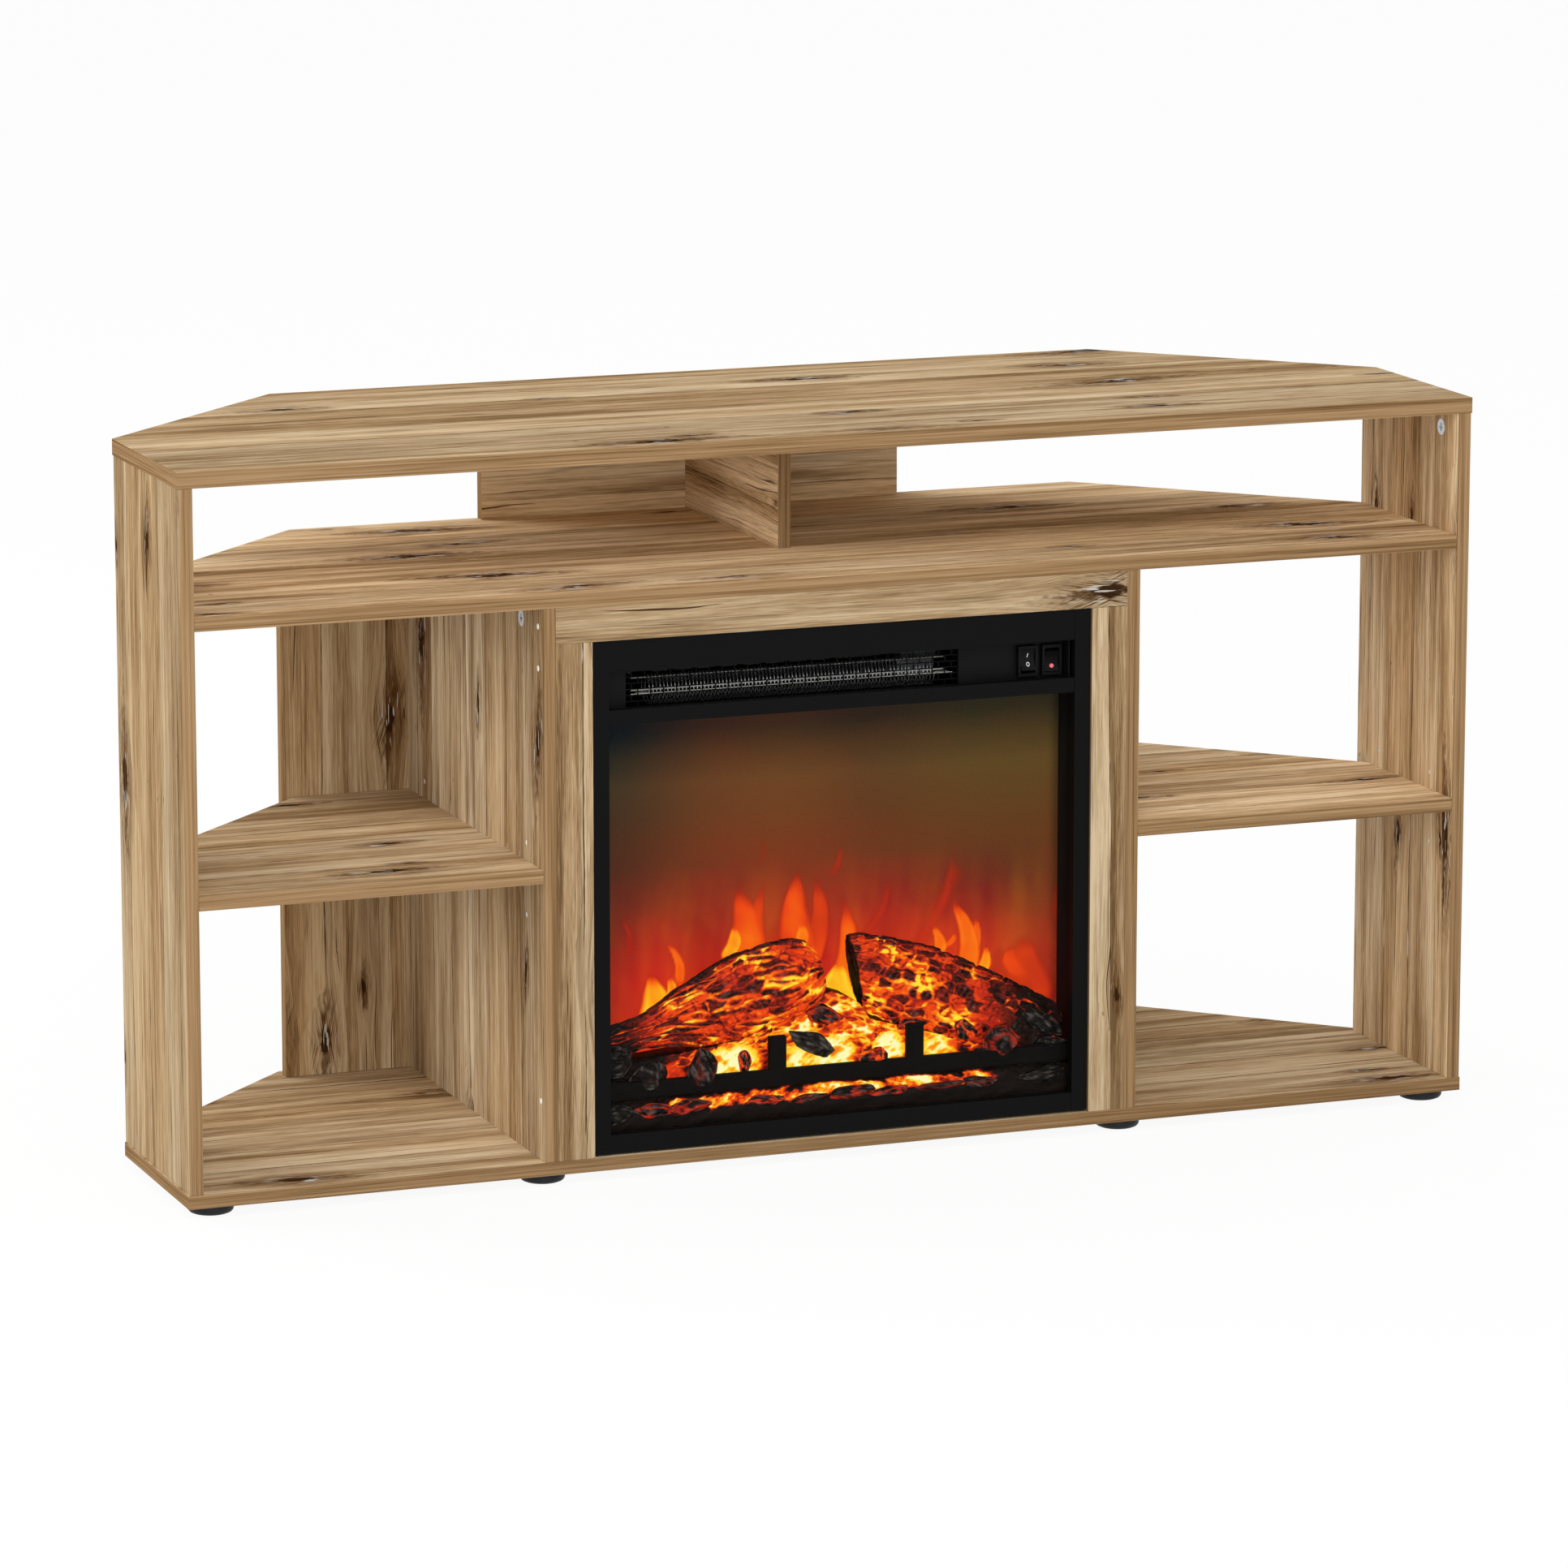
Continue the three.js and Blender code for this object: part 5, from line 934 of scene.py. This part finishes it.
COALS = [
    # centre x, y, z, half sizes, turn, heat
    (-124, 21, 67, 13, 7, 17.5, 0.12, 0.10), (-22, 23, 80, 23, 8, 9.5, -0.42, 0.03),
    (37, 24, 61, 12, 7, 10, 0.5, 0.5), (157, 23, 68, 17, 8, 14, 0.2, 0.22), (199, 27, 78, 19, 7, 10, -0.35, 0.0),
    (-176, 24, 62, 17, 7, 12, 0.3, 0.04), (-205, 28, 74, 18, 9, 13, 0.4, 0.0),
    (-84, 27, 66, 6, 3.5, 10, 0.05, 0.45), (-205, 21, 32, 14, 4, 8, 0.3, 0.0),
    (-170, 20, 33, 17, 4, 6.5, -0.05, 0.30), (-138, 20, 34, 18, 4, 7, 0.06, 0.25),
    (-66, 21, 33, 20, 4, 4.5, -0.05, 0.35), (-28, 21, 31, 18, 4, 4, 0.10, 0.2),
    (14, 20.5, 33, 20, 4, 6, 0.06, 0.25), (52, 21, 31, 18, 4, 5, 0.02, 0.3), (96, 21, 31, 22, 4, 4, 0.05, 0.15),
    (136, 21, 31, 18, 4, 5, -0.04, 0.1), (196, 21, 33, 20, 4.5, 7, 0.05, 0.0), (124, 26, 80, 11, 5, 8, -0.5, 0.5),
    (-10, 30, 104, 16, 5, 8, -0.2, 0.35), (140, 26, 58, 12, 6, 6, 0.0, 0.35), (210, 28, 56, 14, 7, 9, 0.1, 0.0),
    (-208, 26, 52, 14, 7, 8, -0.1, 0.0), (76, 30, 88, 15, 4, 5, 0.05, 0.4),
]
parts = [coal(row[:3], row[3:6], row[6], 60 + i, row[7]) for i, row in enumerate(COALS)]
points, faces = joined(*[(p, f) for p, f, _, _ in parts])
make("coal_lumps", bay_frame(points), faces, bark, slot="charred_log", colours={
    "paint": np.concatenate([p.reshape(-1, 3) for _, _, p, _ in parts]),
    "glow": np.concatenate([g.reshape(-1, 3) for _, _, _, g in parts])})


FLAMES = [
    # foot x, foot z, tip x, tip z, half width, bend, heat, softness
    (-70, 160, -76, 236, 18, 4, 0.57, 0.9), (-58, 165, -56, 236, 9, -3, 0.50, 0.8),
    (-84, 170, -80, 196, 8, 3, 0.78, 0.6), (-18, 165, -24, 246, 17, -4, 0.54, 0.9),
    (-4, 165, -2, 240, 10, 3, 0.47, 0.8), (-20, 170, -16, 194, 7, 2, 0.70, 0.6),
    (20, 118, 27, 218, 13, 5, 0.60, 0.8), (22, 116, 18, 158, 17, -3, 0.88, 0.6),
    (36, 118, 35, 150, 8, 2, 0.80, 0.6), (46, 180, 70, 232, 7, 5, 0.34, 1.2),
    (92, 160, 136, 262, 10, 9, 0.34, 1.3), (112, 200, 134, 244, 12, 6, 0.30, 1.4),
    (142, 138, 130, 206, 11, 6, 0.62, 0.6), (146, 150, 151, 188, 6, 3, 0.60, 0.6),
    (116, 156, 110, 182, 6, 2, 0.62, 0.6), (122, 160, 130, 172, 4, 2, 0.58, 0.7),
    (152, 130, 164, 160, 7, 3, 0.70, 0.6), (204, 112, 196, 170, 22, -4, 0.42, 0.8),
    (190, 130, 182, 158, 9, -3, 0.48, 0.7), (-156, 112, -158, 160, 16, 3, 0.82, 0.6),
    (-142, 128, -140, 156, 6, 2, 0.74, 0.5), (-132, 152, -144, 188, 5, 3, 0.58, 0.6),
    (-104, 160, -132, 222, 18, 7, 0.28, 1.5), (-118, 150, -120, 196, 16, 4, 0.30, 1.4),
    (-178, 180, -186, 214, 4, 3, 0.34, 0.9), (-54, 252, -53, 274, 4, 1, 0.27, 1.2),
    (14, 236, 20, 262, 5, 2, 0.32, 1.0), (-206, 110, -210, 140, 14, 2, 0.42, 1.2),
    (60, 150, 64, 200, 22, 3, 0.26, 1.6), (227, 180, 228, 214, 5, 0, 0.34, 1.2),
    (172, 120, 176, 160, 14, 2, 0.34, 1.3), (-44, 150, -42, 200, 26, 2, 0.30, 1.5),
]


def flame_field(x, z):
    """Heat of the picture's tongues, each exp(-(d / w)^2) with d the distance to a bent line from foot to tip and w
    closing towards the tip; edges brighter than the middle."""
    heat = 0.0 * x
    lift = 6.0 * waves(x, z, seed=71, scale=0.035) + 2.0 * waves(x, z, seed=72, scale=0.12)
    ripple = waves(x, z * 0.5, seed=73, scale=0.14)
    for foot_x, foot_z, tip_x, tip_z, width, bend, hot, soft in FLAMES:
        s = (z - foot_z) / (tip_z - foot_z)
        line = foot_x + (tip_x - foot_x) * s + bend * np.sin(s * math.pi * 1.3) + 0.35 * lift
        body = np.clip(1 - np.clip(s, 0, 1) ** 1.8, 0, 1) * smoothstep(-0.5, 0.1, s)
        w = np.maximum(width * body, 0.6)
        d = abs(x - line) / w
        d = np.maximum(d * 0.86 + 0.10 * ripple, 0)
        shape = np.exp(-(d ** (2.4 / soft))) * smoothstep(1.12, 0.62, s) * smoothstep(-0.7, 0.0, s)
        rim = 0.90 + 0.20 * np.exp(-((d - 0.75) / 0.25) ** 2) / soft
        heat = np.maximum(heat, hot * shape * rim * (0.92 + 0.12 * ripple)) + 0.06 * hot * shape
    return heat


def flame_sheet():
    """Thin slab whose front face carries the flame picture, one point every 1.5 mm: the tongues over a red haze that
    fades upwards, darkened towards its top by painted shade of the frame above.
    """
    low, high = (np.array(v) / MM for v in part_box("flame_screen"))
    y0, y1 = low[1] - FRONT_Y / MM, high[1] - FRONT_Y / MM
    z0, z1 = low[2] - BAY_Z / MM, high[2] - BAY_Z / MM
    columns, rows = 300, 256
    x, z = np.meshgrid(np.linspace(low[0], high[0], columns), np.linspace(z0, z1, rows), indexing="ij")
    level = z + 12
    heat = flame_field(x, level)
    mist = waves(x, z, seed=75, scale=0.03) * 6 + waves(x * 0.5, z, seed=76, scale=0.16) * 2
    middle = np.exp(-((x + 45) / 105) ** 2)
    red = np.interp(level + mist, [90, 150, 175, 200, 225, 250, 300, 325, 350, 375],
                    [225, 212, 192, 156, 124, 98, 84, 82, 62, 36]) + 26 * middle * smoothstep(150, 250, level)
    red = red - (50 * smoothstep(-150, -215, x) + 45 * smoothstep(120, 215, x)) * smoothstep(260, 180, level)
    outer = smoothstep(-100, -220, x) * smoothstep(180, 250, level)
    red = red - 24 * outer + 10 * smoothstep(30, 120, x) * smoothstep(215, 310, level)
    # Painted shade of the frame's top bar: the tables above and this line darken the picture towards its top, most
    # over the last 25 mm (level 350 to 375).
    red = red - 6 * smoothstep(350, 375, level)
    green = np.interp(level, [90, 225, 275, 325, 350, 375], [52, 50, 54, 61, 48, 29])
    green = green + 8 * smoothstep(20, 150, x) * smoothstep(200, 300, level)
    tongue = np.clip(waves(x * 1.6, z * 0.5, seed=77, scale=0.05) * 1.3, -1, 1) * smoothstep(270, 190, level)
    red, green = red + 14 * tongue, green + 16 * tongue
    green = green - 12 * outer + 6 * np.exp(-((x + 35) / 60) ** 2) * smoothstep(230, 300, level)
    blue = np.interp(level, [90, 275, 325, 375], [22, 27, 33, 23])
    back = np.stack([red, green, blue], -1) / 255
    back = np.where(back <= 0.04045, back / 12.92, ((back + 0.055) / 1.055) ** 2.4)
    blend = smoothstep(0.06, 0.50, heat)[..., None]
    glow = back * (1 - blend) + fire_colour(np.clip(heat, 0, 1)) * blend
    edge = smoothstep(229, 216, abs(x))[..., None] * 0.6 + 0.4
    glow = glow * edge
    return slab(np.stack([x, np.full_like(x, y0), z], -1), y1, (np.full_like(glow, 0.004), glow))


points, faces, (paint, glow) = flame_sheet()
make("flame_picture_sheet", bay_frame(points), faces, flame_picture, slot="flame_screen", replaces=("flame_screen",),
     crease=40, colours={"paint": paint, "glow": glow})


def grate_bars():
    """Front bar and two posts with softened edges, on the place of the CAD grate."""
    low, high = (np.array(v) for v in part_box("fire_grate"))
    bar_top, post_half, sunk = low[2] + 0.015, 0.008, 0.002
    boxes = [[low[0], high[0], low[1], high[1], low[2], bar_top]]
    boxes += [[x - post_half, x + post_half, low[1], high[1], bar_top - sunk, high[2]] for x in (-0.056, 0.074)]
    return bars(boxes)


grate_black = satin("grate_black", tone(14, 12, 11), 0.6, speckle=0.3, grain=300.0, depth=0.0002, sheen=0.03)
grate = make("grate_bars", *grate_bars(), grate_black, slot="black_paint", replaces=("fire_grate",), crease=0,
             weld=False)
rounding = grate.modifiers.new("soft_edges", "BEVEL")
rounding.width, rounding.segments = 0.0012, 3


# ---------------------------------------------------------------- floor, light and camera
def floor_finish():
    """White that the camera sees as white, with what is left of the shadows."""
    f = Finish("pale_floor")
    matte = f.node("ShaderNodeBsdfDiffuse", {"Color": (0.82, 0.82, 0.82)})
    plain = f.node("ShaderNodeEmission", {"Color": (1.0, 1.0, 1.0), "Strength": 1.0})
    return f.finish(shader=f.blend(f.seen() * PLAIN_SHARE, matte, plain))


PLAIN_SHARE, FLOOR_HALF = 0.93, 30
floor_mesh = bpy.data.meshes.new("floor")
floor_mesh.from_pydata([(x * FLOOR_HALF, y * FLOOR_HALF, 0) for x, y in ((-1, -1), (1, -1), (1, 1), (-1, 1))], [],
                       [(0, 1, 2, 3)])
floor = bpy.data.objects.new("floor", floor_mesh)
floor_mesh.materials.append(floor_finish())
bpy.context.scene.collection.objects.link(floor)


def sky(level):
    """World: white to the camera and in gloss and glass, an even soft white of the given level to the rest."""
    world = bpy.data.worlds.new("studio")
    bpy.context.scene.world = world
    world.use_nodes = True
    f = Finish(tree=world.node_tree)
    soft, plain = (f.node("ShaderNodeBackground", {0: (1.0, 1.0, 1.0), 1: strength}) for strength in (level, 1.0))
    f.node("ShaderNodeOutputWorld", {0: f.blend(f.seen(), soft, plain)})


sky(0.85)


def lamp(name, place, aim, size, watts):
    """A square soft box that looks at a point."""
    data = bpy.data.lights.new(name, "AREA")
    data.shape, data.size, data.energy = "SQUARE", size, watts
    made = bpy.data.objects.new(name, data)
    made.location = place
    direction = np.array(aim, float) - np.array(place, float)
    made.rotation_euler = (math.atan2(math.hypot(direction[0], direction[1]), -direction[2]), 0,
                           math.atan2(direction[0], -direction[1]) + math.pi)
    bpy.context.scene.collection.objects.link(made)


for name, place, watts in (("front_high_light", (-0.8, -4.2, 3.4), 92), ("front_low_light", (-1.2, -4.6, 0.8), 52),
                           ("left_back_light", (-3.4, 2.6, 1.8), 115)):
    lamp(name, place, (0, 0, 0.3), 2.4, watts)

SENSOR, LENS_PIXELS, PHOTO_PIXELS = 36.0, 9025.0, 1932.0
CAMERA_PLACE, CAMERA_DIP, CAMERA_TURN = (-2.2745, -6.0337, 1.6157), 11.541, -20.814
camera_data = bpy.data.cameras.new("camera")
camera_data.sensor_width = SENSOR
camera_data.lens = SENSOR * LENS_PIXELS / PHOTO_PIXELS
camera_data.clip_end = 60.0
camera = bpy.data.objects.new("camera", camera_data)
camera.location = CAMERA_PLACE
camera.rotation_euler = (math.radians(90 - CAMERA_DIP), 0, math.radians(CAMERA_TURN))
bpy.context.scene.collection.objects.link(camera)
bpy.context.scene.camera = camera
bpy.context.scene.view_settings.view_transform = "Standard"
